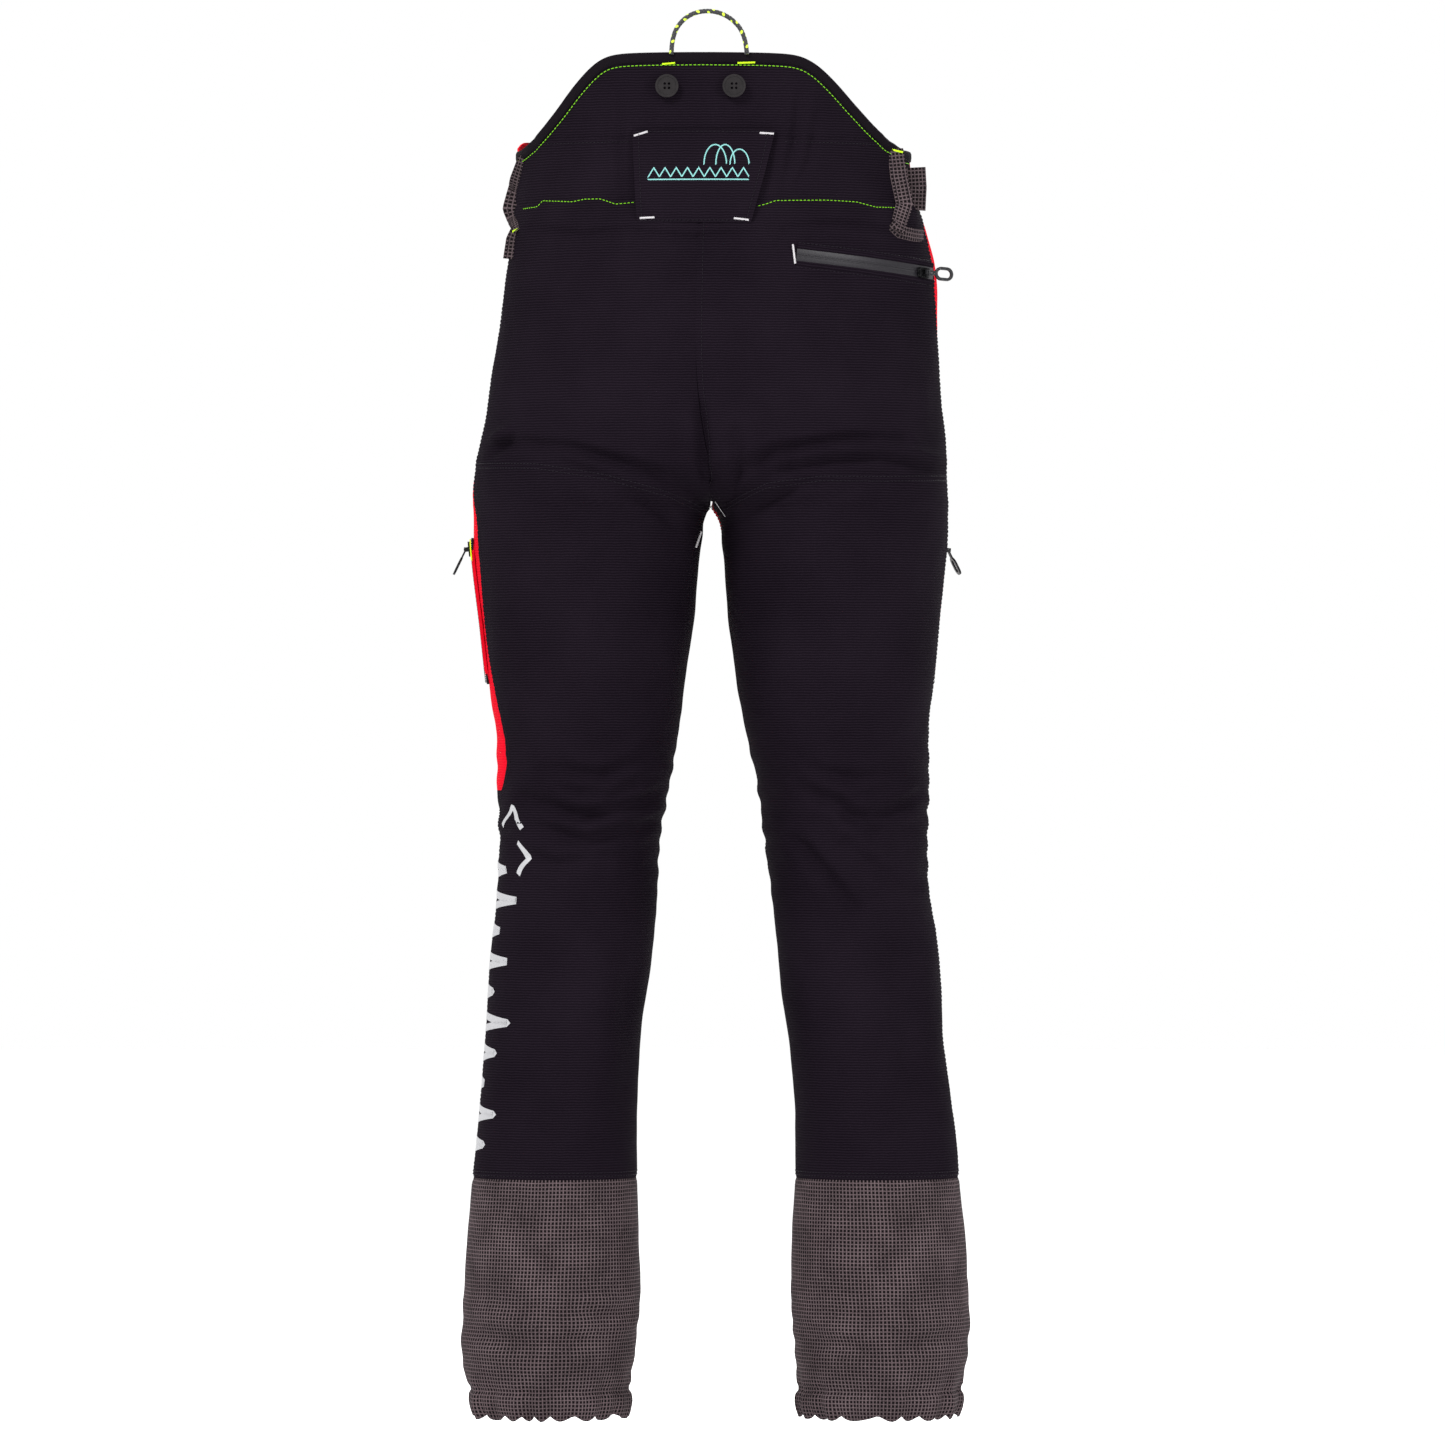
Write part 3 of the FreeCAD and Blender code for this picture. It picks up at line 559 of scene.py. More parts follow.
def hem_wave(side, turn):
    """The rise and fall of the gathers round a hem, from -1 to 1."""
    phase = 2 * math.pi * turn
    return np.sin(GATHERS * phase + 1.3 * np.sin(3 * phase + side) + 0.5 * np.sin(7 * phase))


def gather_relief(side, turn, z):
    """Upright wrinkles where the hem's elastic draws the cuff in."""
    amount = np.clip((GATHER_Z - z) / (GATHER_Z - HEM_Z), 0, 1)
    phase = 2 * math.pi * turn
    wrinkles = hem_wave(side, turn) + 0.45 * np.sin(2.3 * GATHERS * phase + 1.7 * side)
    channel = np.exp(-(((z - CHANNEL_Z) / 3.0) ** 2))
    swell = np.sin(math.pi * np.clip((CHANNEL_Z - z) / (CHANNEL_Z - HEM_Z), 0, 1))
    return amount**0.7 * GATHER_DEPTH * wrinkles + 2.4 * swell - 2.2 * channel


def cloth(side, turn, z, depth=0.0):
    """Points of the draped cloth and the outward directions, a depth under the outside."""
    points, out = skin(side, turn, z)
    turn = np.broadcast_to(turn, points.shape[:-1])
    lift = fold_relief(points, out) + drape_relief(points) + fine_folds(points)
    lift *= calm(side, turn, points)
    lift += seam_relief(side, turn, points, out)
    lift += gather_relief(side, turn, points[..., 2])
    low = np.clip((CHANNEL_Z - points[..., 2]) / (CHANNEL_Z - HEM_Z), 0, 1)
    points[..., 2] += GATHER_HEM * low * (0.75 - np.abs(hem_wave(side, turn)))
    return points + out * (lift - depth)[..., None], out


def waist_cloth(angle, z, depth=0.0):
    """Points of the waist's cloth by angle from the centre back, positive to the right."""
    angle = np.asarray(angle, float)
    turn = 1 - np.abs(angle) / math.pi
    right, right_out = cloth(RIGHT, turn, z, depth)
    left, left_out = cloth(LEFT, turn, z, depth)
    on_right = (angle >= 0)[..., None]
    return np.where(on_right, right, left), np.where(on_right, right_out, left_out)


# Mesh building


def mesh_object(name, points, faces, material, uvs=None, sharp=()):
    """An object from points in millimetres; uvs has one pair for each point, also in millimetres."""
    mesh = bpy.data.meshes.new(name)
    mesh.from_pydata((np.asarray(points, float) * MM).tolist(), [], faces)
    mesh.polygons.foreach_set("use_smooth", [True] * len(mesh.polygons))
    if uvs is not None:
        layer = mesh.uv_layers.new(name="cloth")
        corners = np.empty(len(mesh.loops), dtype=np.int32)
        mesh.loops.foreach_get("vertex_index", corners)
        layer.data.foreach_set("uv", np.asarray(uvs, float)[corners].ravel())
    if len(sharp):
        pairs = {tuple(sorted(pair)) for pair in sharp}
        for edge in mesh.edges:
            if tuple(sorted(edge.vertices)) in pairs:
                edge.use_edge_sharp = True
    mesh.materials.append(material)
    mesh.validate()
    piece = bpy.data.objects.new(name, mesh)
    bpy.context.scene.collection.objects.link(piece)
    return piece


def grid_faces(rows, columns, first=0, flip=False):
    """Faces over a grid of points, numbered row by row."""
    faces = []
    for i in range(rows - 1):
        for j in range(columns - 1):
            a = first + i * columns + j
            face = (a, a + columns, a + columns + 1, a + 1)
            faces.append(face[::-1] if flip else face)
    return faces


def sheet_piece(name, outer, inner, material, open_ends=(), upright=True):
    """A thin piece between two grids of points, closed at its edges except those left open.

    Its cloth map runs along the first axis, and up, or along the second axis where it isn't upright.
    """
    rows, columns = outer.shape[:2]
    first, second = outer[1:, :-1] - outer[:-1, :-1], outer[:-1, 1:] - outer[:-1, :-1]
    facing = np.cross(first, second) * (outer - inner)[:-1, :-1]
    flip = bool(facing.sum() < 0)
    count = rows * columns
    steps = [np.linalg.norm(np.diff(outer, axis=axis), axis=-1).mean(axis=1 - axis) for axis in (0, 1)]
    walked = [np.concatenate([[0.0], np.cumsum(step)]) for step in steps]
    round_mm = np.broadcast_to(walked[0][:, None], (rows, columns))
    up_mm = outer[..., 2] if upright else np.broadcast_to(walked[1], (rows, columns))
    uvs = np.stack([round_mm, up_mm], axis=-1).reshape(-1, 2)
    points = np.concatenate([outer.reshape(-1, 3), inner.reshape(-1, 3)])
    faces = grid_faces(rows, columns, 0, flip) + grid_faces(rows, columns, count, not flip)
    numbers = np.arange(count).reshape(rows, columns)
    borders = {"start": numbers[0], "end": numbers[-1], "top": numbers[:, 0], "bottom": numbers[:, -1]}
    sharp = []
    for edge, border in borders.items():
        turned = flip == (edge in ("end", "top"))
        if edge in open_ends:
            continue
        for a, b in zip(border.tolist(), border[1:].tolist()):
            face = (a, b, b + count, a + count)
            faces.append(face if turned else face[::-1])
            sharp += [(a, b), (a + count, b + count)]
    return mesh_object(name, points, faces, material, np.concatenate([uvs, uvs]), sharp)


def cloth_piece(name, side, start, end, top, bottom, material, depth=0.0, thick=CLOTH_THICK, **more):
    """Cloth on one half between two seams, given as turns by height, and between two heights."""
    heights = np.linspace(top, bottom, max(4, int((top - bottom) / CLOTH_STEP)))
    middle = (top + bottom) / 2
    reach = float(end(middle)) - float(start(middle))
    count = max(4, int(reach * (HIP_ROUND if middle > CROTCH_Z else LEG_ROUND) / CLOTH_STEP))
    share = np.linspace(0.0, 1.0, count)[:, None]
    turns = start(heights)[None, :] * (1 - share) + end(heights)[None, :] * share
    z = np.broadcast_to(heights, turns.shape)
    faces = [cloth(side, turns, z, depth + extra)[0] for extra in (0.0, thick)]
    return sheet_piece(name, *faces, material, **more)


def at_turn(turn):
    """An edge at one turn, whatever the height."""
    return lambda z: np.full(np.shape(z), turn)


def seam_of(side):
    """An edge at the side seam."""
    return lambda z: side_seam(side, z)


def band_piece(name, first, last, top, bottom, material, depth=0.0, **more):
    """Cloth round the back of the waist between two angles; its edges are heights by angle."""
    angles = np.linspace(first, last, int(abs(last - first) * WAIST_RADIUS / CLOTH_STEP))
    high, low = top(angles), bottom(angles)
    count = max(4, int(np.max(high - low) / CLOTH_STEP))
    share = np.linspace(0.0, 1.0, count)[None, :]
    z = high[:, None] * (1 - share) + low[:, None] * share
    spread_angles = np.broadcast_to(angles[:, None], z.shape)
    faces = [waist_cloth(spread_angles, z, depth + extra)[0] for extra in (0.0, CLOTH_THICK)]
    return sheet_piece(name, *faces, material, **more)


# Materials


def new_material(name, **values):
    """A material with one Principled shader, whose plain numbers and colours are set on its sockets."""
    material = bpy.data.materials.new(name)
    material.use_nodes = True
    shader = material.node_tree.nodes["Principled BSDF"]
    for socket, value in values.items():
        shader.inputs[socket.replace("_", " ").title().replace("Ior", "IOR")].default_value = value
    return material, material.node_tree, shader


def add_node(tree, kind, inputs=None, **settings):
    """A node with its settings; an input is a value or another node's output."""
    node = tree.nodes.new(kind)
    for key, value in settings.items():
        setattr(node, key, value)
    for key, value in (inputs or {}).items():
        if isinstance(value, bpy.types.NodeSocket):
            tree.links.new(value, node.inputs[key])
        else:
            node.inputs[key].default_value = value
    return node


def maths(tree, operation, first, second=0.0, third=None):
    """The result of a sum on values or other nodes' outputs."""
    inputs = {0: first, 1: second}
    if third is not None:
        inputs[2] = third
    return add_node(tree, "ShaderNodeMath", inputs, operation=operation).outputs[0]


def object_place(tree):
    """Places in the object's own metres, for pieces without a cloth map."""
    return add_node(tree, "ShaderNodeTexCoord").outputs["Object"]


def cloth_axes(tree):
    """Millimetres round and up the cloth, and the pair as a vector."""
    place = add_node(tree, "ShaderNodeUVMap", uv_map="cloth").outputs[0]
    parts = add_node(tree, "ShaderNodeSeparateXYZ", {0: place})
    return parts.outputs[0], parts.outputs[1], place


def noise(tree, place, scale, detail=2.0, roughness=0.5):
    """Soft noise from 0 to 1."""
    inputs = {"Vector": place, "Scale": scale, "Detail": detail, "Roughness": roughness}
    return add_node(tree, "ShaderNodeTexNoise", inputs).outputs["Fac"]


def wave(tree, axis, pitch, shift=0.0):
    """From 0 to 1 and back once in each pitch."""
    turned = maths(tree, "MULTIPLY_ADD", axis, 2 * math.pi / pitch, shift)
    return maths(tree, "MULTIPLY_ADD", maths(tree, "SINE", turned), 0.5, 0.5)


def blend_colours(tree, amount, first, second):
    """A colour between two, which are colours or other nodes' outputs."""
    inputs = {0: amount, 6: first, 7: second}
    inputs = {key: (*value, 1.0) if isinstance(value, tuple) else value for key, value in inputs.items()}
    return add_node(tree, "ShaderNodeMix", inputs, data_type="RGBA").outputs[2]


def paint(tree, shader, tone, dark, light):
    """Colours a shader from dark to light."""
    tree.links.new(blend_colours(tree, tone, dark, light), shader.inputs["Base Color"])


def add_bump(tree, shader, height, distance, strength):
    """Gives a shader a fine relief."""
    bump = add_node(tree, "ShaderNodeBump", {"Height": height, "Distance": distance, "Strength": strength})
    tree.links.new(bump.outputs[0], shader.inputs["Normal"])


def ribbed_cloth(name, dark, light):
    """Stretch cloth with fine level ribs and an uneven, slightly faded colour."""
    material, tree, shader = new_material(
        name, roughness=0.86, sheen_weight=0.0, sheen_roughness=0.45, specular_ior_level=0.02
    )
    u, v, place = cloth_axes(tree)
    slub = noise(tree, place, 0.11, 3.0, 0.6)
    fleck = noise(tree, place, 0.9, 2.0, 0.7)
    ribs = wave(tree, maths(tree, "MULTIPLY_ADD", slub, 1.6, v), RIB_PITCH)
    relief = maths(tree, "MULTIPLY_ADD", wave(tree, u, RIB_THREAD_PITCH), 0.35, ribs)
    relief = maths(tree, "MULTIPLY_ADD", fleck, 0.7, relief)
    tone = maths(tree, "MULTIPLY", ribs, maths(tree, "MULTIPLY_ADD", fleck, 1.1, 0.05))
    faded = noise(tree, place, 0.012, 3.0, 0.55)
    tone = maths(tree, "MULTIPLY_ADD", faded, 0.45, maths(tree, "MULTIPLY", tone, 0.75))
    paint(tree, shader, tone, dark, light)
    add_bump(tree, shader, relief, 0.00022, 0.8)
    return material


def ripstop_cloth():
    """Coated cloth with a raised, paler grid over a dark ground."""
    material, tree, shader = new_material(
        "ripstop_cloth", roughness=0.75, specular_ior_level=0.04, sheen_weight=0.0, sheen_roughness=0.5
    )
    u, v, place = cloth_axes(tree)
    wander = noise(tree, place, 0.02, 2.0)
    lines = []
    for axis, shift, sharp in ((u, 3.0, 3.2), (v, 2.0, 4.6)):
        wandering = maths(tree, "MULTIPLY_ADD", wander, shift, axis)
        lines.append(maths(tree, "POWER", wave(tree, wandering, RIPSTOP_PITCH), sharp))
    grid = maths(tree, "MAXIMUM", *lines)
    fleck = noise(tree, place, 0.75, 2.0, 0.75)
    patch = noise(tree, place, 0.03, 3.0, 0.6)
    bright = maths(tree, "MULTIPLY_ADD", fleck, 1.3, maths(tree, "MULTIPLY_ADD", patch, 0.9, -0.5))
    paint(tree, shader, maths(tree, "MULTIPLY", grid, bright), (0.003, 0.002, 0.0025), (0.152, 0.112, 0.120))
    add_bump(tree, shader, maths(tree, "MULTIPLY_ADD", fleck, 0.4, grid), 0.00028, 0.9)
    return material


def plain_cloth(name, dark, light, pitch=1.4, roughness=0.85, bump=0.0002):
    """A close plain weave of crossing threads."""
    material, tree, shader = new_material(
        name, roughness=roughness, sheen_weight=0.0, sheen_roughness=0.5, specular_ior_level=0.03
    )
    u, v, place = cloth_axes(tree)
    crossing = maths(tree, "MULTIPLY", wave(tree, u, pitch), wave(tree, v, pitch, 1.5))
    fleck = noise(tree, place, 0.6, 3.0, 0.7)
    tone = maths(tree, "MULTIPLY_ADD", crossing, 0.5, maths(tree, "MULTIPLY", fleck, 0.7))
    paint(tree, shader, tone, dark, light)
    add_bump(tree, shader, maths(tree, "ADD", crossing, fleck), bump, 0.8)
    return material


def mesh_cloth():
    """Knitted lining whose small holes are painted dark, as painted shade in them."""
    material, tree, shader = new_material(
        "lining_mesh", roughness=0.9, sheen_weight=0.2, sheen_roughness=0.6
    )
    u, v, place = cloth_axes(tree)
    holes = maths(tree, "MULTIPLY", wave(tree, u, 3.4), wave(tree, v, 3.0))
    holes_painted_dark = maths(tree, "GREATER_THAN", holes, 0.62)
    fleck = noise(tree, place, 0.8)
    shade = maths(tree, "MULTIPLY_ADD", fleck, 0.5, maths(tree, "MULTIPLY", holes_painted_dark, 0.6))
    # The holes take the dark colour: painted shade where one looks into them.
    paint(tree, shader, shade, (0.09, 0.088, 0.095), (0.018, 0.018, 0.02))
    add_bump(tree, shader, maths(tree, "SUBTRACT", fleck, holes_painted_dark), 0.0004, 0.7)
    return material


def thread_material(name, colour):
    """Sewing thread with a fine twist."""
    material, tree, shader = new_material(name, roughness=0.55, specular_ior_level=0.08)
    dark = tuple(0.62 * part for part in colour)
    paint(tree, shader, noise(tree, object_place(tree), 1400.0), dark, colour)
    return material


def enamel(name, base, worn, roughness=0.34):
    """Black enamelled metal, rubbed paler in spots."""
    material, tree, shader = new_material(name, metallic=0.75, specular_ior_level=0.3)
    place = object_place(tree)
    spots = noise(tree, place, 420.0, 4.0, 0.65)
    worn_at = add_node(tree, "ShaderNodeMapRange", {0: spots, 1: 0.56, 2: 0.72}).outputs[0]
    paint(tree, shader, worn_at, base, worn)
    tree.links.new(maths(tree, "MULTIPLY_ADD", spots, 0.3, roughness - 0.12), shader.inputs["Roughness"])
    add_bump(tree, shader, noise(tree, place, 1500.0, 3.0), 0.00003, 0.5)
    return material


def moulded_plastic(name, base, light):
    """Button plastic with cloudy swirls and a soft gloss."""
    material, tree, shader = new_material(
        name, coat_weight=0.06, coat_roughness=0.18, specular_ior_level=0.22
    )
    place = object_place(tree)
    swirl = noise(tree, place, 160.0, 4.0, 0.6)
    paint(tree, shader, swirl, base, light)
    tree.links.new(maths(tree, "MULTIPLY_ADD", swirl, 0.25, 0.2), shader.inputs["Roughness"])
    add_bump(tree, shader, noise(tree, place, 1800.0), 0.00002, 0.5)
    return material


def coated_tape():
    """Water-repellent zip tape: a smooth film with fine scuffs over a woven edge."""
    material, tree, shader = new_material(
        "zip_tape_coated", coat_weight=0.08, coat_roughness=0.3, specular_ior_level=0.2
    )
    u, _, place = cloth_axes(tree)
    scuff = noise(tree, place, 0.35, 4.0, 0.65)
    ribs = wave(tree, u, 1.3)
    tone = maths(tree, "MULTIPLY_ADD", scuff, 0.6, maths(tree, "MULTIPLY", ribs, 0.2))
    paint(tree, shader, tone, (0.003, 0.003, 0.004), (0.022, 0.019, 0.025))
    tree.links.new(maths(tree, "MULTIPLY_ADD", scuff, 0.3, 0.22), shader.inputs["Roughness"])
    add_bump(tree, shader, maths(tree, "MULTIPLY_ADD", ribs, 0.5, scuff), 0.00008, 0.6)
    return material


def braided_cord():
    """Black braid with neon flecks, round u and along v in millimetres."""
    material, tree, shader = new_material("cord_braid", roughness=0.6, sheen_weight=0.3, sheen_roughness=0.4)
    u, v, _ = cloth_axes(tree)
    slant, other = (maths(tree, "MULTIPLY_ADD", u, lean, v) for lean in (0.9, -0.9))
    braid = maths(tree, "MULTIPLY", wave(tree, slant, 3.0), wave(tree, other, 3.0))
    fleck = maths(tree, "MULTIPLY", wave(tree, slant, 11.5), wave(tree, other, 7.3, 1.1))
    dark = blend_colours(tree, braid, (0.004, 0.004, 0.005), (0.03, 0.03, 0.034))
    paint(tree, shader, maths(tree, "GREATER_THAN", fleck, 0.6), dark, (0.5, 0.66, 0.03))
    add_bump(tree, shader, braid, 0.0004, 0.9)
    return material


def reflective_print():
    """Pale silver heat-set print with a fine crazed surface."""
    material, tree, shader = new_material(
        "reflective_print", roughness=0.42, metallic=0.25, specular_ior_level=0.6
    )
    grain = noise(tree, object_place(tree), 900.0, 3.0, 0.6)
    paint(tree, shader, grain, (0.3, 0.3, 0.31), (0.46, 0.46, 0.48))
    add_bump(tree, shader, grain, 0.00008, 0.6)
    return material


def floor_material():
    """A pale, faintly uneven floor."""
    material, tree, shader = new_material("floor_pale", roughness=0.9)
    paint(tree, shader, noise(tree, object_place(tree), 3.0), (0.985, 0.985, 0.985), (1.0, 1.0, 1.0))
    return material


BLACK = ribbed_cloth("black_stretch_cloth", (0.0015, 0.0007, 0.0019), (0.0132, 0.0090, 0.0144))
RED = ribbed_cloth("red_stretch_cloth", (0.42, 0.002, 0.008), (0.68, 0.006, 0.022))
RIPSTOP = ripstop_cloth()
LINING = mesh_cloth()
POCKETING = plain_cloth("pocket_cloth", (0.02, 0.02, 0.022), (0.07, 0.07, 0.075))
PADDING = plain_cloth("pad_cloth", (0.5, 0.49, 0.44), (0.78, 0.77, 0.7), pitch=2.6, bump=0.0004)
BINDING = plain_cloth("binding_tape", (0.002, 0.0012, 0.002), (0.009, 0.0065, 0.0095), 0.9, 0.7)
ELASTIC = plain_cloth("elastic_band", (0.008, 0.008, 0.009), (0.04, 0.04, 0.045), pitch=1.8)
TAPE = plain_cloth("zip_tape_woven", (0.004, 0.004, 0.005), (0.022, 0.022, 0.025), pitch=1.0)
NEON_TAPE = plain_cloth("neon_zip_tape", (0.45, 0.6, 0.01), (0.8, 0.95, 0.03), pitch=1.0)
COATED = coated_tape()
CORD = braided_cord()
PRINT = reflective_print()
NEON = thread_material("neon_thread", (0.22, 0.62, 0.02))
LIME = thread_material("lime_thread", (0.62, 0.95, 0.02))
WHITE = thread_material("white_thread", (0.62, 0.6, 0.62))
DARK = thread_material("dark_thread", (0.013, 0.010, 0.015))
TEAL = thread_material("teal_thread", (0.3, 0.66, 0.64))
METAL = enamel("zip_enamel", (0.008, 0.008, 0.009), (0.09, 0.09, 0.092))
SNAP = enamel("snap_enamel", (0.02, 0.02, 0.022), (0.2, 0.2, 0.2), roughness=0.3)
COIL = moulded_plastic("zip_coil", (0.008, 0.008, 0.009), (0.03, 0.03, 0.032))
BUTTON = moulded_plastic("button_plastic", (0.003, 0.0025, 0.003), (0.015, 0.012, 0.013))


# Camera and cord


def make_camera():
    """Looks level at the back of the garment from far away."""
    data = bpy.data.cameras.new("camera")
    data.lens = CAMERA_LENS
    camera = bpy.data.objects.new("camera", data)
    camera.location = CAMERA_PLACE
    camera.rotation_euler = (math.pi / 2, 0, 0)
    bpy.context.scene.collection.objects.link(camera)
    bpy.context.scene.camera = camera


def smooth_route(points):
    """Points along a smooth line whose control points are the route's, in metres."""
    curve = bpy.data.curves.new("route", "CURVE")
    curve.dimensions = "3D"
    spline = curve.splines.new("NURBS")
    spline.points.add(len(points) - 1)
    for target, point in zip(spline.points, points):
        target.co = (*point, 1.0)
    spline.order_u = 3
    spline.use_endpoint_u = True
    spline.resolution_u = 10
    holder = bpy.data.objects.new("route", curve)
    bpy.context.scene.collection.objects.link(holder)
    mesh = bpy.data.meshes.new_from_object(holder)
    found = [tuple(vertex.co) for vertex in mesh.vertices]
    bpy.data.objects.remove(holder)
    bpy.data.meshes.remove(mesh)
    bpy.data.curves.remove(curve)
    return found


def swept_tube(name, path, radius, material):
    """A closed tube along points in millimetres."""
    ways = np.gradient(path, axis=0)
    ways /= np.linalg.norm(ways, axis=1, keepdims=True)
    normal = np.cross(ways[0], (0.0, 1.0, 0.3))
    angles = np.arange(CORD_SIDES) * 2 * math.pi / CORD_SIDES
    points, uvs = [], []
    for place, way, walked in zip(path, ways, walk(path)):
        normal -= way * normal.dot(way)
        normal /= np.linalg.norm(normal)
        other = np.cross(way, normal)
        for angle in angles:
            points.append(place + radius * (math.cos(angle) * normal + math.sin(angle) * other))
            uvs.append((radius * angle, walked))
    rings = np.arange(len(points)).reshape(-1, CORD_SIDES)
    faces = [tuple(rings[0][::-1].tolist()), tuple(rings[-1].tolist())]
    for first, second in zip(rings.tolist(), rings[1:].tolist()):
        for side in range(CORD_SIDES):
            after = (side + 1) % CORD_SIDES
            faces.append((first[side], first[after], second[after], second[side]))
    return mesh_object(name, points, faces, material, uvs)


def make_cord():
    """The hanging cord, whose ends go into the top binding."""
    low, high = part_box("hanging_cord")
    y = (low[1] + high[1]) / 2
    route = smooth_route([(x, y, z) for x, z in CORD_ROUTE])
    cord = swept_tube("cord", np.array(route) / MM, CORD_RADIUS, CORD)
    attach(cord, "hips")
    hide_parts("hanging_cord")
    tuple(route[0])


# Stitching


class Threads:
    """Collects short thread lengths into one piece."""

    def __init__(self):
        """Starts with no threads."""
        self.points = []
        self.faces = []

    def add(self, start, end, out, radius=THREAD_RADIUS, sides=5):
        """One length of thread whose ends dip into the cloth."""
        start, end, out = (np.asarray(v, float) for v in (start, end, out))
        way = end - start
        length = np.linalg.norm(way)
        if length < SHORTEST_THREAD:
            return
        way = way / length
        out = out - way * out.dot(way)
        out /= np.linalg.norm(out)
        across = np.cross(way, out)
        base = len(self.points)
        for t, share, rise in THREAD_RINGS:
            centre = start + way * (t * length) + out * (rise * THREAD_ARCH * radius + radius * 0.5)
            for angle in np.arange(sides) * 2 * math.pi / sides:
                aside = math.cos(angle) * out + math.sin(angle) * across
                self.points.append(centre + radius * share * aside)
        for ring in range(len(THREAD_RINGS) - 1):
            for side in range(sides):
                after = (side + 1) % sides
                a, b = base + ring * sides, base + (ring + 1) * sides
                self.faces.append((a + side, a + after, b + after, b + side))
        last = base + (len(THREAD_RINGS) - 1) * sides
        self.faces.append(tuple(range(base + sides - 1, base - 1, -1)))
        self.faces.append(tuple(range(last, last + sides)))

    def row(self, points, outs, stitch=STITCH, gap=STITCH_GAP, radius=THREAD_RADIUS):
        """A row of stitches along a line of points with outward directions."""
        starts = np.arange(0.3 * stitch, walk(points)[-1] - stitch, stitch + gap)
        first, second, middle = (along(starts + part, points, outs) for part in (0, stitch, stitch / 2))
        for start, end, out in zip(first[0], second[0], middle[1]):
            self.add(start, end, out, radius)

    def bar(self, start, end, out, width=TACK_WIDTH):
        """A dense bar of slanted stitches, as at a point of strain."""
        start, end, out = (np.asarray(v, float) for v in (start, end, out))
        way = end - start
        length = np.linalg.norm(way)
        way = way / length
        reach = np.cross(way, out) * width / 2 / np.linalg.norm(np.cross(way, out))
        count = max(3, int(length / (1.5 * TACK_RADIUS)))
        for index in range(count):
            centre = start + way * (length * (index + 0.5) / count)
            slant = way * (TACK_SLANT * width * (1 if index % 2 else -1))
            self.add(centre - reach - slant, centre + reach + slant, out, TACK_RADIUS)

    def piece(self, name, material, body, slot="binding"):
        """The threads as one piece."""
        return dress(mesh_object(name, self.points, self.faces, material), body, slot)


def sew(name, material, body, rows, **stitch):
    """One piece of stitches along rows, each a line of points and its outward directions."""
    threads = Threads()
    for points, outs in rows:
        threads.row(points, outs, **stitch)
    threads.piece(name, material, body)


def turn_at(side, x, z):
    """The turns where the back cloth passes places across, at heights."""
    x, z = np.broadcast_arrays(np.asarray(x, float), np.asarray(z, float))
    low, high = np.full(x.shape, 1.0), np.full(x.shape, 0.5)
    for _ in range(HALVINGS):
        middle = (low + high) / 2
        nearer = side * skin(side, middle, z)[0][..., 0] < side * x
        low = np.where(nearer, middle, low)
        high = np.where(nearer, high, middle)
    return (low + high) / 2


def back_line(side, line):
    """Points and outward directions on the back cloth along a line across and up."""
    line = np.asarray(line, float)
    length = walk(line)[-1]
    x, z = along(np.linspace(0, length, max(2, int(length / ROW_STEP))), line)[0].T
    return cloth(side, turn_at(side, x, z), z)


def seam_line(side, turn, top, bottom, shift_mm=0.0):
    """Points and outward directions down a seam, beside it by some millimetres of cloth."""
    z = np.linspace(top, bottom, int((top - bottom) / ROW_STEP))
    return cloth(side, turn(z) + shift_mm / np.where(z > CROTCH_Z, HIP_ROUND, LEG_ROUND), z)


def level_line(side, start, end, z):
    """Points and outward directions round one half at one height."""
    turns = np.linspace(start, end, max(2, int(abs(end - start) * LEG_ROUND / ROW_STEP)))
    return cloth(side, turns, np.full(turns.shape, z))


# Bodies and blends of the pieces


def hip_blend():
    """Cloth between the waist and mid thigh: each piece's place is baked into its mesh; it is given no body
    and does not turn with the thigh.
    """
    return lambda piece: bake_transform(piece)


def knee_blend():
    """Cloth between mid thigh and the cuff: each piece's place is baked into its mesh; it is given no body
    and does not turn with the shin.
    """
    return lambda piece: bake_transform(piece)


def dress(piece, body, slot, *nodes):
    """Gives a piece its body or its blend, and hides the frame nodes it stands for; the slot is not used."""
    if isinstance(body, str):
        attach(piece, body)
    else:
        body(piece)
    if nodes:
        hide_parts(*nodes)
    return piece


# Cloth panels


def make_waist():
    """The raised back, the waistbands and the facings inside them."""
    left, right = SIDE_ANGLES

    def seam(angle):
        return np.minimum(FLAP_SEAM_Z, flap_edge(angle) - 3.0)

    def edge(angle):
        return flap_edge(angle) - 1.0

    flap = band_piece("kidney_flap_cloth", -FLAP_ANGLE, FLAP_ANGLE, edge, seam, BLACK)
    dress(flap, "hips", "black_cloth", "kidney_flap")
    below = band_piece(
        "waistband_back_cloth", left, right, seam, lambda angle: np.full(angle.shape, WAIST_SEAM_Z), BLACK
    )
    dress(below, "hips", "black_cloth", "waistband_back")
    for name, side in SIDES.items():
        end = 1 - abs(SIDE_ANGLES[0 if side == LEFT else 1]) / math.pi
        front = cloth_piece(
            f"waistband_front_cloth_{name}", side, at_turn(0.0), at_turn(end), -0.5, WAIST_SEAM_Z, RED
        )
        dress(front, "hips", "red_cloth", f"waistband_front_{name}")
        facing = cloth_piece(
            f"waist_facing_{name}", side, at_turn(0.0), at_turn(1.0), -4.0, WAIST_SEAM_Z - 12.0,
            POCKETING, depth=1.8, thick=0.8,
        )
        dress(facing, "hips", "pocket_cloth")


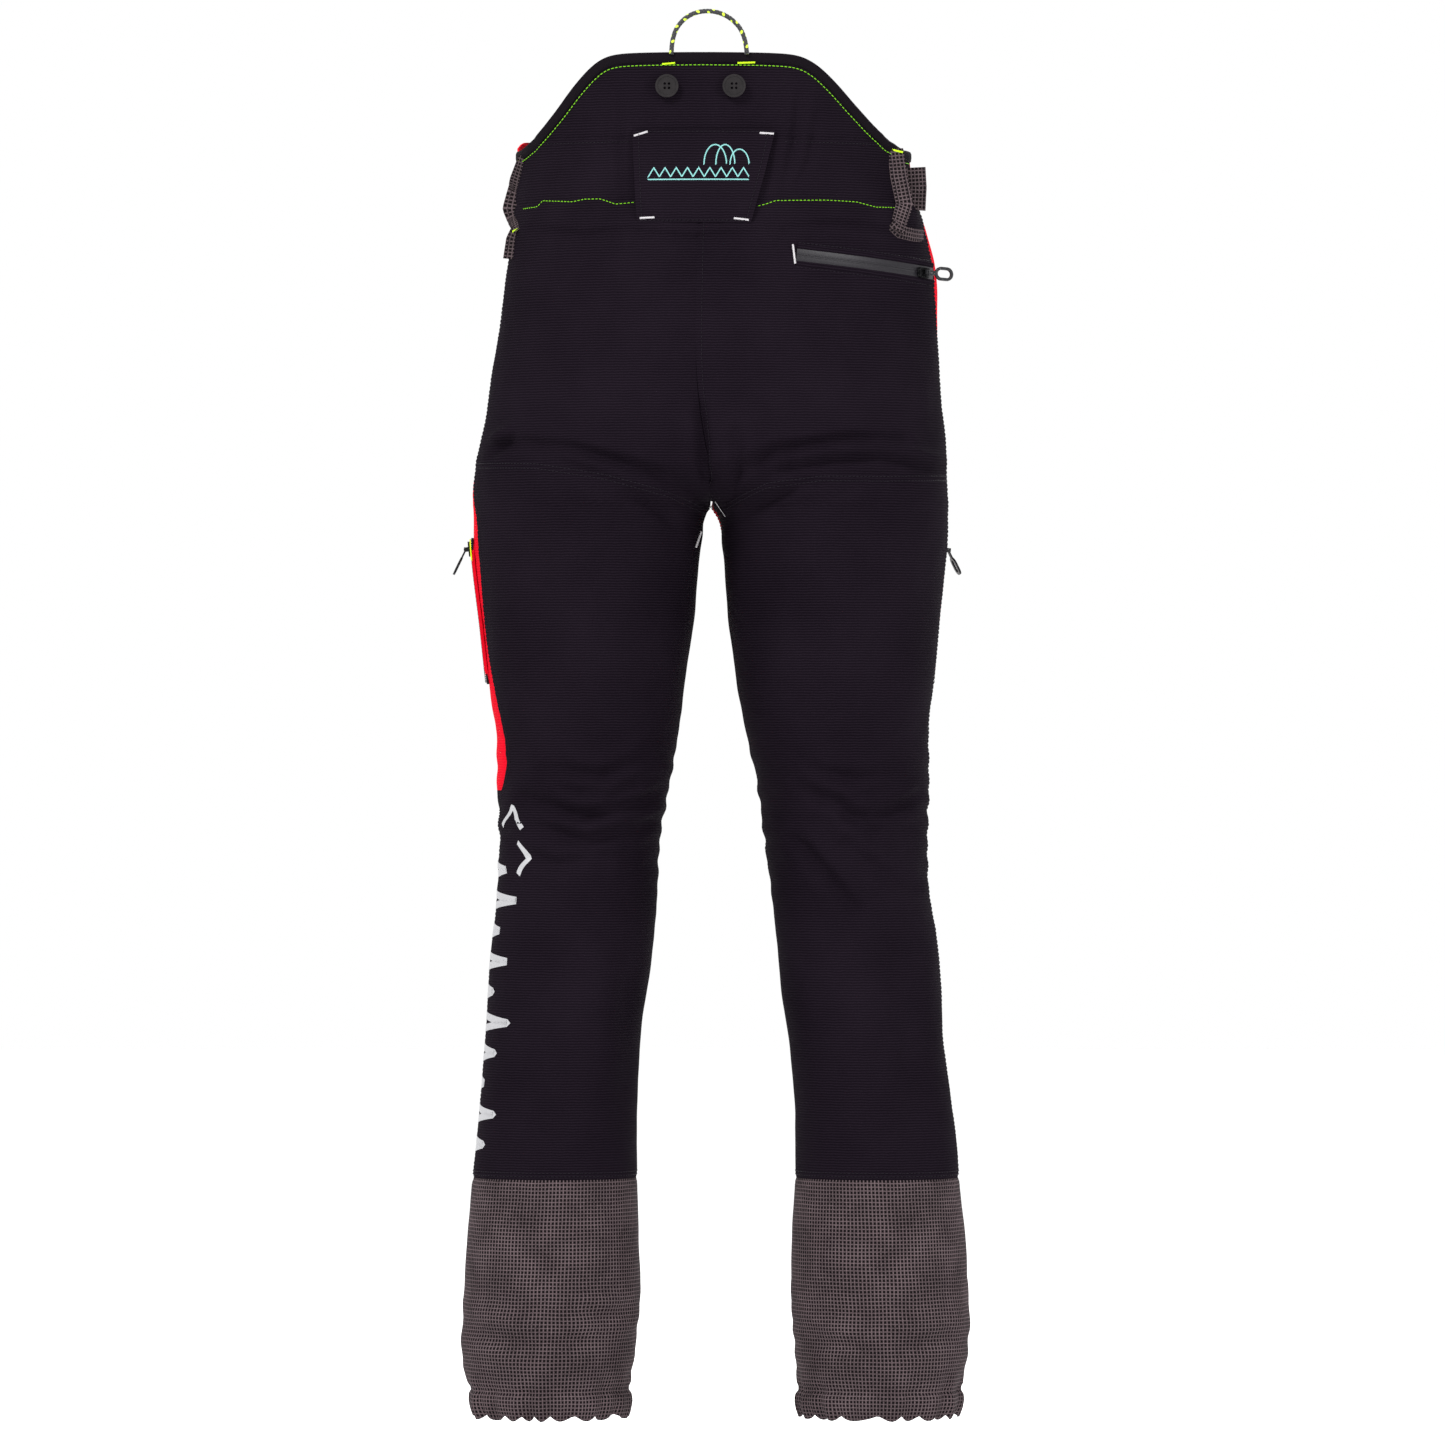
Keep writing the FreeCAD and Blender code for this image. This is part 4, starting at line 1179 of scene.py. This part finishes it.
def make_side_rise():
    """The front waistband swells upward in front of the left end of the raised back."""
    first, last = SIDE_RISE_ANGLES

    def top(angle):
        return 0.5 + SIDE_RISE * np.sin(math.pi * (angle - first) / (last - first))

    rise = band_piece(
        "waistband_rise_left", first, last, top, lambda angle: np.full(angle.shape, -3.0), RED, depth=-0.2
    )
    dress(rise, "hips", "red_cloth")


def make_binding():
    """Folded tape over the top edge, with neon stitching along its lower edge."""
    angles = np.linspace(-BINDING_END, BINDING_END, BINDING_STEPS)
    top, outs = waist_cloth(angles, flap_edge(angles))
    ways = np.gradient(top, axis=0)
    ways /= np.linalg.norm(ways, axis=1, keepdims=True)
    ups = np.cross(outs, ways)
    ups *= np.sign(ups[:, 2:3])
    loop = BINDING_SECTION + BINDING_SECTION[:1]
    grid = np.stack([top + outs * out + ups * up for out, up in loop], axis=1)
    uvs = np.stack(np.meshgrid(walk(top), walk(np.array(loop)), indexing="ij"), axis=-1).reshape(-1, 2)
    faces = grid_faces(len(angles), len(loop), 0, True)
    piece = mesh_object("top_binding_tape", grid.reshape(-1, 3), faces, BINDING, uvs)
    dress(piece, "hips", "binding", "top_binding")
    shown = np.abs(angles) < EDGE_ROW_END
    line = top + outs * 0.9 - ups * EDGE_ROW_DROP
    sew("flap_edge_stitching", NEON, "hips", [(line[shown], outs[shown])], stitch=2.5, gap=1.1)


def make_panels(name, side):
    """The seat, hip, thigh, knee and calf cloth of one half; the front is black below the knee."""
    seam = seam_of(side)
    hip, knee = hip_blend(), knee_blend()
    back, front = (seam, lambda z: 1 + inseam(z)), (inseam, seam)
    rows = [
        ("seat_cloth", back, WAIST_SEAM_Z, MID_THIGH_Z, BLACK, hip, "black_cloth",
         ("seat_panel", "groin_back"), ("bottom",)),
        ("hip_cloth", front, WAIST_SEAM_Z, MID_THIGH_Z, RED, hip, "red_cloth",
         ("hip_front", "groin_front"), ("bottom",)),
        ("calf_cloth", back, MID_THIGH_Z, CUFF_Z, BLACK, knee, "black_cloth",
         ("thigh_back", "knee_back", "calf_back"), ("top",)),
        ("thigh_cloth", front, MID_THIGH_Z, RED_END_Z, RED, knee, "red_cloth",
         ("thigh_front", "knee_front"), ("top",)),
        ("shin_cloth", front, RED_END_Z, CUFF_Z, BLACK, knee, "black_cloth", ("shin_front",), ()),
    ]
    for part, (start, end), top, bottom, material, body, slot, nodes, open_ends in rows:
        piece = cloth_piece(
            f"{part}_{name}", side, start, end, top, bottom, material, open_ends=open_ends
        )
        dress(piece, body, slot, *(f"{node}_{name}" for node in nodes))


def make_inside(name, side):
    """The lining, the protective pad and the pocket bags."""
    hip, knee = hip_blend(), knee_blend()
    for part, body, way, lining_z, pad_z in (
        ("upper", hip, "bottom", (WAIST_SEAM_Z - 8.0, MID_THIGH_Z), (PAD_Z[0], MID_THIGH_Z)),
        ("lower", knee, "top", (MID_THIGH_Z, CUFF_Z + 10.0), (MID_THIGH_Z, PAD_Z[1])),
    ):
        lining = cloth_piece(
            f"lining_{part}_{name}", side, at_turn(0.0), at_turn(1.0), *lining_z, LINING, LINING_DEPTH, 0.7,
            open_ends=(way,),
        )
        dress(lining, body, "lining_mesh", f"lining_{name}")
        pad = cloth_piece(
            f"protective_pad_{part}_{name}", side, *map(at_turn, PAD_TURNS), *pad_z, PADDING,
            PAD_DEPTH, PAD_THICK, open_ends=(way,),
        )
        dress(pad, body, "cut_protection", f"protective_pad_{name}")
    bags = [(f"front_pocket_bag_{name}", POCKET_TURNS, POCKET_Z, f"front_pocket_{name}")]
    if side == RIGHT:
        bags.append(("rear_pocket_bag_cloth", REAR_POCKET_TURNS, REAR_POCKET_Z, "rear_pocket_bag"))
    for piece_name, turns, heights, node in bags:
        bag = cloth_piece(
            piece_name, side, *map(at_turn, turns), *heights, POCKETING, POCKET_DEPTH, POCKET_THICK
        )
        dress(bag, hip, "pocket_cloth", node)


def make_cuff(name, side):
    """The gathered cuff, whose hem closes over its elastic."""
    cuff = cloth_piece(f"cuff_cloth_{name}", side, at_turn(0.0), at_turn(1.0), CUFF_Z, HEM_Z, RIPSTOP)
    dress(cuff, f"shin_{name}", "ripstop_cloth", f"cuff_{name}")
    band = cloth_piece(
        f"hem_elastic_band_{name}", side, at_turn(0.0), at_turn(1.0), HEM_Z + 27.0, HEM_Z + 2.0, ELASTIC,
        depth=1.7, thick=1.2,
    )
    dress(band, f"shin_{name}", "elastic", f"hem_elastic_{name}")


# Ribbons, loops and the patch


def back_point(x, z, lift=0.0, draped=True):
    """Points and outward directions on the back at places across and up."""
    x, z = np.broadcast_arrays(np.asarray(x, float), np.asarray(z, float))
    shift, seam_shift = table_values(HANG, z, (1, 2))
    on_right = (x >= shift + seam_shift)[..., None]
    found = []
    for side in (RIGHT, LEFT):
        turn = turn_at(side, x, z)
        if draped:
            found.append(cloth(side, turn, z, -lift))
        else:
            points, out = skin(side, turn, z)
            found.append((points + out * np.broadcast_to(lift, x.shape)[..., None], out))
    return tuple(np.where(on_right, right, left) for right, left in zip(*found))


def spread(line, step):
    """Rows of numbers, across and up first, read at even distances along their line."""
    line = np.asarray(line, float)
    length = walk(line[:, :2])[-1]
    return along(np.linspace(0, length, max(3, int(length / step) + 1)), line[:, :2], line)[1]


def ribbon(name, centre, outs, widths, material, thick=1.2, crown=0.4):
    """A narrow strip along a line of points, with its outward directions and its widths."""
    widths = np.broadcast_to(widths, (len(centre),))
    share = np.linspace(-1, 1, RIBBON_COLUMNS)
    shift = share[None, :, None] * widths[:, None, None] / 2 * sideways(centre, outs)[:, None, :]
    outer = centre[:, None, :] + shift + crown * (1 - share**4)[None, :, None] * outs[:, None, :]
    inner = outer - (thick * (0.6 + 0.4 * (1 - share**4)))[None, :, None] * outs[:, None, :]
    return sheet_piece(name, outer, inner, material, upright=False)


def strap(name, line, slot_nodes=()):
    """A ripstop strap behind the back cloth; each row is across, up, lift and width.

    Its face turns straight back, but for its share of the cloth's own direction.
    """
    rows = spread(line, ROW_STEP)
    on_cloth, cloth_outs = back_point(rows[:, 0], rows[:, 1], 0.0, draped=False)
    outs = cloth_outs * STRAP_ASIDE + np.array([0.0, -1.0, 0.0])
    outs /= np.linalg.norm(outs, axis=1, keepdims=True)
    points = np.stack([rows[:, 0], on_cloth[:, 1] - rows[:, 2], rows[:, 1]], axis=1)
    dress(ribbon(name, points, outs, rows[:, 3], RIPSTOP, 1.3), "hips", "ripstop_cloth", *slot_nodes)
    return points, outs


def tack(threads, start, end, lift, width=TACK_WIDTH):
    """A bartack on the back cloth from one place to another."""
    points, outs = back_point(*np.array([start, end], float).T, lift)
    threads.bar(points[0], points[1], outs[0], width)


def patch_edges(up):
    """The left and right edges of the back patch, and its height, at shares up it."""
    return [low + (high - low) * up for low, high in zip(PATCH_FOOT, PATCH_TOP)]


def patch_point(across, up, lift=0.0):
    """Places on the back patch by its shares across, from 0 to 1, and up from its foot."""
    across, up = np.broadcast_arrays(np.asarray(across, float), np.asarray(up, float))
    left, right, z = patch_edges(up)
    low, high = PATCH_LIFT
    puff = np.sin(math.pi * np.clip(up, 0, 1)) ** 0.6
    wave_mm = 0.7 * np.sin(7.0 * across + 1.0) * (1 - up) + 0.5 * np.sin(9.0 * up + 3 * across)
    rise = low + (high - low) * puff * (0.75 + 0.25 * np.sin(math.pi * across)) + wave_mm * puff
    return back_point(left + (right - left) * across, z, rise + lift, draped=False)


def patch_line(line, lift, step):
    """Points and outward directions on the patch along a line across and up."""
    x, z = spread(line, step).T
    up = (z - PATCH_FOOT[2]) / (PATCH_TOP[2] - PATCH_FOOT[2])
    left, right, _ = patch_edges(up)
    return patch_point((x - left) / (right - left), up, lift)


def make_patch():
    """The wide loop at the centre back, tacked at its corners, with a plain embroidered mark."""
    outer, outs = patch_point(np.linspace(0, 1, 46)[:, None], np.linspace(1, 0, 34)[None, :])
    patch = sheet_piece("back_patch_cloth", outer, outer - 1.5 * outs, BLACK)
    dress(patch, "hips", "black_cloth", "centre_belt_loop")
    white = Threads()
    for ends in PATCH_TACKS:
        points, outs = patch_line(ends, 0.2, 4.0)
        white.bar(points[0], points[-1], outs[0])
    white.piece("patch_tacks", WHITE, "hips")
    rows = [patch_point(np.full(40, share), np.linspace(0.97, 0.03, 40), 0.1) for share in (0.045, 0.955)]
    rows += [patch_point(np.linspace(0.02, 0.98, 50), np.full(50, share), 0.1) for share in (0.025, 0.975)]
    sew("patch_stitching", DARK, "hips", rows)
    make_mark()


def make_mark():
    """An embroidered row of saw teeth under three plain arches."""
    teal = Threads()
    low, high = MARK_LINE_Z
    x = np.linspace(MARK_LEFT, MARK_RIGHT, 2 * MARK_TEETH + 1)
    lines = [list(zip(x, np.where(np.arange(len(x)) % 2, high, low)))]
    lines.append([(MARK_LEFT, low - 2.2), (MARK_RIGHT, low - 2.2)])
    for left, right, height in MARK_PEAKS:
        middle, half = (left + right) / 2, (right - left) / 2
        angles = np.linspace(0, math.pi, 16)
        lines.append([(middle - half * math.cos(a), high + 3.0 + height * math.sin(a)) for a in angles])
    for line in lines:
        points, outs = patch_line(line, 0.15, 0.7)
        for first, second, out in zip(points, points[1:], outs):
            way = second - first
            reach = np.cross(way / np.linalg.norm(way), out) * 0.55 + way
            teal.add(first - reach, first + reach, out, 0.28, 4)
    teal.piece("patch_mark", TEAL, "hips")


def edge_rows(threads, points, outs, width):
    """Rows of stitches along both edges of a strap."""
    shift = (width / 2 - 1.5) * sideways(points, outs)
    for sign in (-1, 1):
        threads.row(points + sign * shift + 0.35 * outs, outs, 2.2, 0.9, 0.32)


def make_side_loops():
    """The ripstop belt loops at the sides, bent as they hang."""
    dark, lime = Threads(), Threads()
    for name, (line, width, nodes) in SIDE_STRAPS.items():
        edge_rows(dark, *strap(name, line, nodes), width)
    rows = spread(SIDE_FOLD, ROW_STEP)
    middle = skin(RIGHT, 0.56, -30.0)[0]
    centre = np.stack([177.0 + rows[:, 1], np.full(len(rows), middle[1]), rows[:, 0]], axis=1)
    outs = np.tile([0.22, -0.97, 0.0], (len(rows), 1))
    dress(ribbon("side_fold_right", centre, outs, 20.0, RIPSTOP, 2.6, 0.8), "hips", "ripstop_cloth")
    edge_rows(dark, centre + 0.6 * outs, outs, 19.0)
    dark.piece("side_loop_stitching", DARK, "hips")
    for start, end, lift in SIDE_TACKS:
        x, z = np.array([start, end], float).T
        y = back_point(x, z, 0.0, draped=False)[0][:, 1].mean() - lift
        lime.bar((x[0], y, z[0]), (x[1], y, z[1]), (0.0, -1.0, 0.0))
    lime.piece("side_loop_tacks", LIME, "hips")


def make_front_loops():
    """Two ripstop loops on the front waistband."""
    lime = Threads()
    top, foot = FRONT_LOOP_Z
    z = np.linspace(top, foot, 34)
    for name, side in SIDES.items():
        points, outs = skin(side, FRONT_LOOP_TURN, z)
        points = points + outs * (1.6 + 5.2 * np.sin(math.pi * (z - top) / (foot - top)) ** 0.6)[:, None]
        loop = ribbon(f"front_loop_{name}", points, outs, 16.0, RIPSTOP, 1.3)
        dress(loop, "hips", "ripstop_cloth", "front_belt_loops")
        for at in (2, -3):
            across = np.cross(outs[at], (0.0, 0.0, 1.0)) * 6.5
            centre = points[at] + 0.8 * outs[at]
            lime.bar(centre - across, centre + across, outs[at])
    lime.piece("front_loop_tacks", LIME, "hips")


# Zips and their lips


def zip_strip(name, points, outs, body, node, half=TAPE_HALF):
    """Two tapes beside a row of coil teeth."""
    across = sideways(points, outs)
    for label, sign in (("a", -1), ("b", 1)):
        centre = points + sign * (half + TAPE_SLIT) / 2 * across
        strip = ribbon(f"{name}_tape_{label}", centre, outs, half - TAPE_SLIT, TAPE, 2.2, 0.25)
        dress(strip, body, "zip_tape", node)
    teeth = Threads()
    places = np.arange(1.0, walk(points)[-1] - 1.0, TOOTH_PITCH)
    for index, (place, side, out) in enumerate(zip(*along(places, points, across, outs))):
        shift = 0.3 * (1 if index % 2 else -1) * side
        teeth.add(place - TOOTH_REACH * side + shift, place + TOOTH_REACH * side + shift, out, 0.62, 6)
    teeth.piece(f"{name}_teeth", COIL, body, "zip_tape")


def make_thigh_zip(name, side):
    """The vent zip down the outer thigh, between two lips of cloth."""
    body = f"thigh_{name}"
    z = np.linspace(*THIGH_ZIP_Z, 64)
    points, outs = skin(side, THIGH_ZIP_TURN[side], z)
    points = points + THIGH_ZIP_LIFT * outs
    zip_strip(f"{body}_zip", points, outs, body, f"{body}_zip_tape")
    across = sideways(points, outs)
    ends = np.clip(np.minimum(THIGH_ZIP_Z[0] - z, z - THIGH_ZIP_Z[1]) / LIP_TAPER, 0, 1)
    widths = LIP_WIDTH * np.sqrt(np.maximum(ends, 0.02))
    sink = 3.0 * (1 - ends) ** 2
    for label, sign in (("a", -1), ("b", 1)):
        centre = points + sign * 6.6 * across + (0.5 - sink)[:, None] * outs
        lip = ribbon(f"{body}_zip_lip_{label}", centre, outs, widths, RED, 3.4, 0.7)
        dress(lip, body, "red_cloth")
    rows = [(points + shift * across + 1.0 * outs, outs) for shift in (-8.2, 8.2)]
    sew(f"{body}_zip_stitching", DARK, body, rows, radius=FINE_THREAD)
    if side == LEFT:
        centre = (points + 6.5 * across + 1.3 * outs)[:GARAGE_ROWS]
        patch = ribbon("thigh_left_zip_garage", centre, outs[:GARAGE_ROWS], 7.0, NEON_TAPE, 1.0, 0.5)
        dress(patch, body, "zip_tape")


def make_fly():
    """The fly zip, its guard behind it and the curved stitching beside it."""
    points, outs = skin(RIGHT, 0.0, np.linspace(*FLY_ZIP_Z, 66))
    zip_strip("fly_zip", points + FLY_ZIP_LIFT * outs, outs, "hips", "fly_zip_tape", half=7.0)
    guard = cloth_piece(
        "fly_guard_cloth", LEFT, at_turn(0.01), at_turn(0.1), -8.0, -176.0, POCKETING, depth=2.2, thick=1.2
    )
    dress(guard, "hips", "black_cloth", "fly_shield")
    down = np.linspace(WAIST_SEAM_Z - 3.0, -178.0, 60)
    turns = FLY_STITCH_TURN * np.sqrt(np.clip(1 - ((-down - 140.0) / 38.0).clip(0) ** 2, 0, 1))
    sew("fly_stitching", NEON, "hips", [cloth(LEFT, turns + gap, down, -0.2) for gap in (0.006, 0.018)])


def make_rear_zip():
    """The rear pocket's coated zip in its stitched opening."""
    rows = spread(REAR_ZIP, 1.6)
    points, outs = back_point(rows[:, 0], rows[:, 1], REAR_ZIP_BED + 0.5, draped=False)
    band = ribbon("rear_zip_film", points, outs, np.linspace(13.5, 11.5, len(points)), COATED, 0.8, 0.5)
    dress(band, "hips", "zip_tape", "rear_pocket_zip_tape")
    across = sideways(points, outs)
    across *= np.sign(across[:, 2:3])
    dark = Threads()
    for label, up in (("above", across), ("below", -across)):
        lip = ribbon(f"rear_zip_lip_{label}", points + up * 7.4 + 0.2 * outs, outs, 4.6, BLACK, 1.5, 0.9)
        dress(lip, "hips", "black_cloth")
        dark.row(points + up * 10.6 - 0.3 * outs, outs)
        centre = points + up * 0.75 + 0.5 * outs
        slit = ribbon(f"rear_zip_seam_{label}", centre, outs, 1.2, COATED, 0.5, 0.35)
        dress(slit, "hips", "zip_tape")
    dark.piece("rear_zip_stitching", DARK, "hips")
    white = Threads()
    way = points[1] - points[0]
    start = points[0] - 2.5 * way / np.linalg.norm(way) + outs[0]
    up = np.array([-0.12, 0.0, 1.0])
    white.bar(start + 8.5 * up, start - 8.0 * up, outs[0])
    white.piece("rear_zip_tack", WHITE, "hips")


# Stitching, tacks and print


def make_rows(name, side):
    """Rows of thread beside the seams, in the black and the red cloth."""
    hip, knee = hip_blend(), knee_blend()
    seam = seam_of(side)
    for part, top, bottom, body in (
        ("upper", WAIST_SEAM_Z - 4.0, MID_THIGH_Z, hip), ("lower", MID_THIGH_Z, CUFF_Z + 3.0, knee)
    ):
        places = [(seam, 4.0), (seam, 9.0), (inseam, 4.0)]
        if side == RIGHT or part == "lower":
            places.append((lambda z: 1 + inseam(z), -4.0))
        rows = [seam_line(side, turn, top, bottom, shift) for turn, shift in places]
        sew(f"seam_rows_{part}_{name}", DARK, body, rows, radius=FINE_THREAD)
    seat = SEAT_SEAMS[0 if side == LEFT else 1]
    rows = [back_line(side, [(x, z - drop) for x, z in seat]) for drop in (3.0, 7.0)]
    sew(f"seat_rows_{name}", DARK, hip, rows)
    rows = [level_line(side, *ALL_ROUND, CUFF_Z + rise) for rise in (3.0, 6.0)]
    sew(f"cuff_rows_{name}", DARK, knee, rows)
    sew(f"hem_rows_{name}", DARK, f"shin_{name}", [level_line(side, *ALL_ROUND, CHANNEL_Z)], stitch=2.2)


def make_waist_threads():
    """Neon topstitching and tacks round the waist, and the cord's tacks."""
    neon, lime, white = Threads(), Threads(), Threads()
    for line in WAIST_ROWS:
        neon.row(*back_point(*spread(line, 1.5).T, 0.15), stitch=2.3, gap=1.2, radius=0.34)
    rows = [back_point(*(spread(line, 1.5) + (2.2, 0.0)).T, 0.1) for line in SEAM_ROWS]
    sew("flap_stitching", DARK, "hips", rows)
    for start, end in CORD_TACKS:
        tack(lime, start, end, 1.2, 1.7)
    for side in (LEFT, RIGHT):
        for z in FRONT_BAND_ROWS:
            neon.row(*level_line(side, 0.01, 0.47, z))
    tack(white, *CROTCH_TACK, 0.6, 1.6)
    neon.piece("waist_stitching", NEON, "hips")
    lime.piece("cord_tacks", LIME, "hips")
    white.piece("crotch_tack", WHITE, "hips")


def make_centre_seam():
    """The seam allowance behind the centre back seam."""
    z = np.linspace(WAIST_SEAM_Z, CROTCH_Z + 6.0, 60)
    middle = (cloth(LEFT, 1.0, z)[0] + cloth(RIGHT, 1.0, z)[0]) / 2
    outs = np.tile([0.0, -1.0, 0.0], (len(z), 1))
    allowance = ribbon("centre_seam_allowance", middle - 1.3 * outs, outs, 12.0, BLACK, 1.0)
    dress(allowance, "hips", "black_cloth")


def make_inseam_tack():
    """The white tack on the left inseam."""
    white = Threads()
    points = cloth(LEFT, np.array([0.965, 0.948]), np.array([-330.0, -344.0]), -0.9)[0]
    white.bar(points[0], points[1], (0.5, -0.87, 0.0), 2.2)
    white.piece("inseam_tack", WHITE, hip_blend())


def make_pocket_rows(name, side):
    """The slanting openings of the front pockets."""
    slant = 0.16 * np.linspace(0, 1, 60) ** 1.3
    z = np.linspace(WAIST_SEAM_Z - 4.0, POCKET_FOOT_Z, 60)
    rows = [cloth(side, turn + slant, z, -0.2) for turn in (0.22, 0.23)]
    sew(f"pocket_rows_{name}", NEON, hip_blend(), rows)
    z = np.linspace(WAIST_SEAM_Z - 2.0, POCKET_FOOT_Z, 60)
    lip = ribbon(f"pocket_lip_{name}", *cloth(side, 0.212 + slant, z, -0.4), 3.2, RED, 1.2, 0.8)
    dress(lip, hip_blend(), "red_cloth")


def print_strip(line, width):
    """A flat stroke of the print along a line; its rows are round the shin from its side, and up."""
    rows = spread(line, 1.6)
    ways = np.gradient(rows, axis=0)
    ways /= np.linalg.norm(ways, axis=1, keepdims=True)
    across = np.stack([-ways[:, 1], ways[:, 0]], axis=1)
    flat = rows[:, None, :] + np.linspace(-0.5, 0.5, 5)[None, :, None] * width * across[:, None, :]
    return cloth(LEFT, 0.5 + flat[..., 0] / SHIN_ROUND, flat[..., 1], -PRINT_RAISE)


def make_print():
    """Reflective chevrons up the outer side of the left shin, and two small marks above them."""
    strokes = []
    for index, reach in enumerate(PRINT_REACHES):
        top = PRINT_TOP_Z - index * PRINT_PITCH
        tip = (reach, top - 0.38 * PRINT_PITCH)
        strokes.append([(PRINT_START, top), tip, (PRINT_START, top - 0.76 * PRINT_PITCH)])
    for kind, lines, width in (("strokes", strokes, PRINT_WIDE), ("marks", PRINT_MARKS, MARK_WIDE)):
        for index, line in enumerate(lines):
            grid, outs = print_strip(line, width)
            piece = sheet_piece(f"print_{kind}_{index}", grid, grid - 0.3 * outs, PRINT, upright=False)
            dress(piece, knee_blend(), "snap_metal")


def make_button_threads():
    """Crossed sewing threads in the back buttons."""
    dark = Threads()
    for points, outs in (back_point(x, z, 0.0, draped=False) for x, z in BACK_BUTTONS):
        face = points + outs * BUTTON_FACE
        for slope in (-1, 1):
            reach = np.array([1.9, 0.0, 1.9 * slope])
            dark.add(face - reach, face + reach, outs, 0.35)
    dark.piece("button_threads", DARK, "hips")


def keep_nodes():
    """Better materials for the frame's own hard parts."""
    for name, node in NODES.items():
        for word, material in (("slider", METAL), ("pull", METAL), ("snap", SNAP), ("button", BUTTON)):
            if word in name:
                for slot in node.material_slots:
                    slot.material = material


NODES = {node.name: node for node in bpy.data.objects if node.type == "MESH"}

make_camera()
make_cord()
make_waist()
make_side_rise()
make_binding()
make_patch()
make_side_loops()
make_front_loops()
make_fly()
make_rear_zip()
make_waist_threads()
make_centre_seam()
make_inseam_tack()
make_print()
make_button_threads()
for half, half_side in SIDES.items():
    make_panels(half, half_side)
    make_inside(half, half_side)
    make_cuff(half, half_side)
    make_thigh_zip(half, half_side)
    make_rows(half, half_side)
    make_pocket_rows(half, half_side)
keep_nodes()


# Room


def make_floor():
    """A wide pale floor under the hems."""
    mesh = bpy.data.meshes.new("floor")
    corners = [(x, y, FLOOR_Z) for x, y in ((-1, -1), (1, -1), (1, 1), (-1, 1))]
    mesh.from_pydata([(x * FLOOR_REACH, y * FLOOR_REACH, z) for x, y, z in corners], [], [(0, 1, 2, 3)])
    mesh.materials.append(floor_material())
    floor = bpy.data.objects.new("floor", mesh)
    bpy.context.scene.collection.objects.link(floor)


def make_lights():
    """A white surround and three soft lamps aimed at the middle of the garment."""
    world = bpy.data.worlds.new("studio")
    world.use_nodes = True
    world.node_tree.nodes["Background"].inputs["Color"].default_value = (1.0, 1.0, 1.0, 1.0)
    world.node_tree.nodes["Background"].inputs["Strength"].default_value = 1.0
    bpy.context.scene.world = world
    for name, (place, aim, size, power) in LAMPS.items():
        data = bpy.data.lights.new(name, "AREA")
        data.size = size
        data.energy = power
        lamp = bpy.data.objects.new(name, data)
        lamp.location = place
        lamp.rotation_euler = (Vector(aim) - Vector(place)).to_track_quat("-Z", "Y").to_euler()
        bpy.context.scene.collection.objects.link(lamp)


bpy.context.scene.view_settings.view_transform = "Standard"
make_floor()
make_lights()
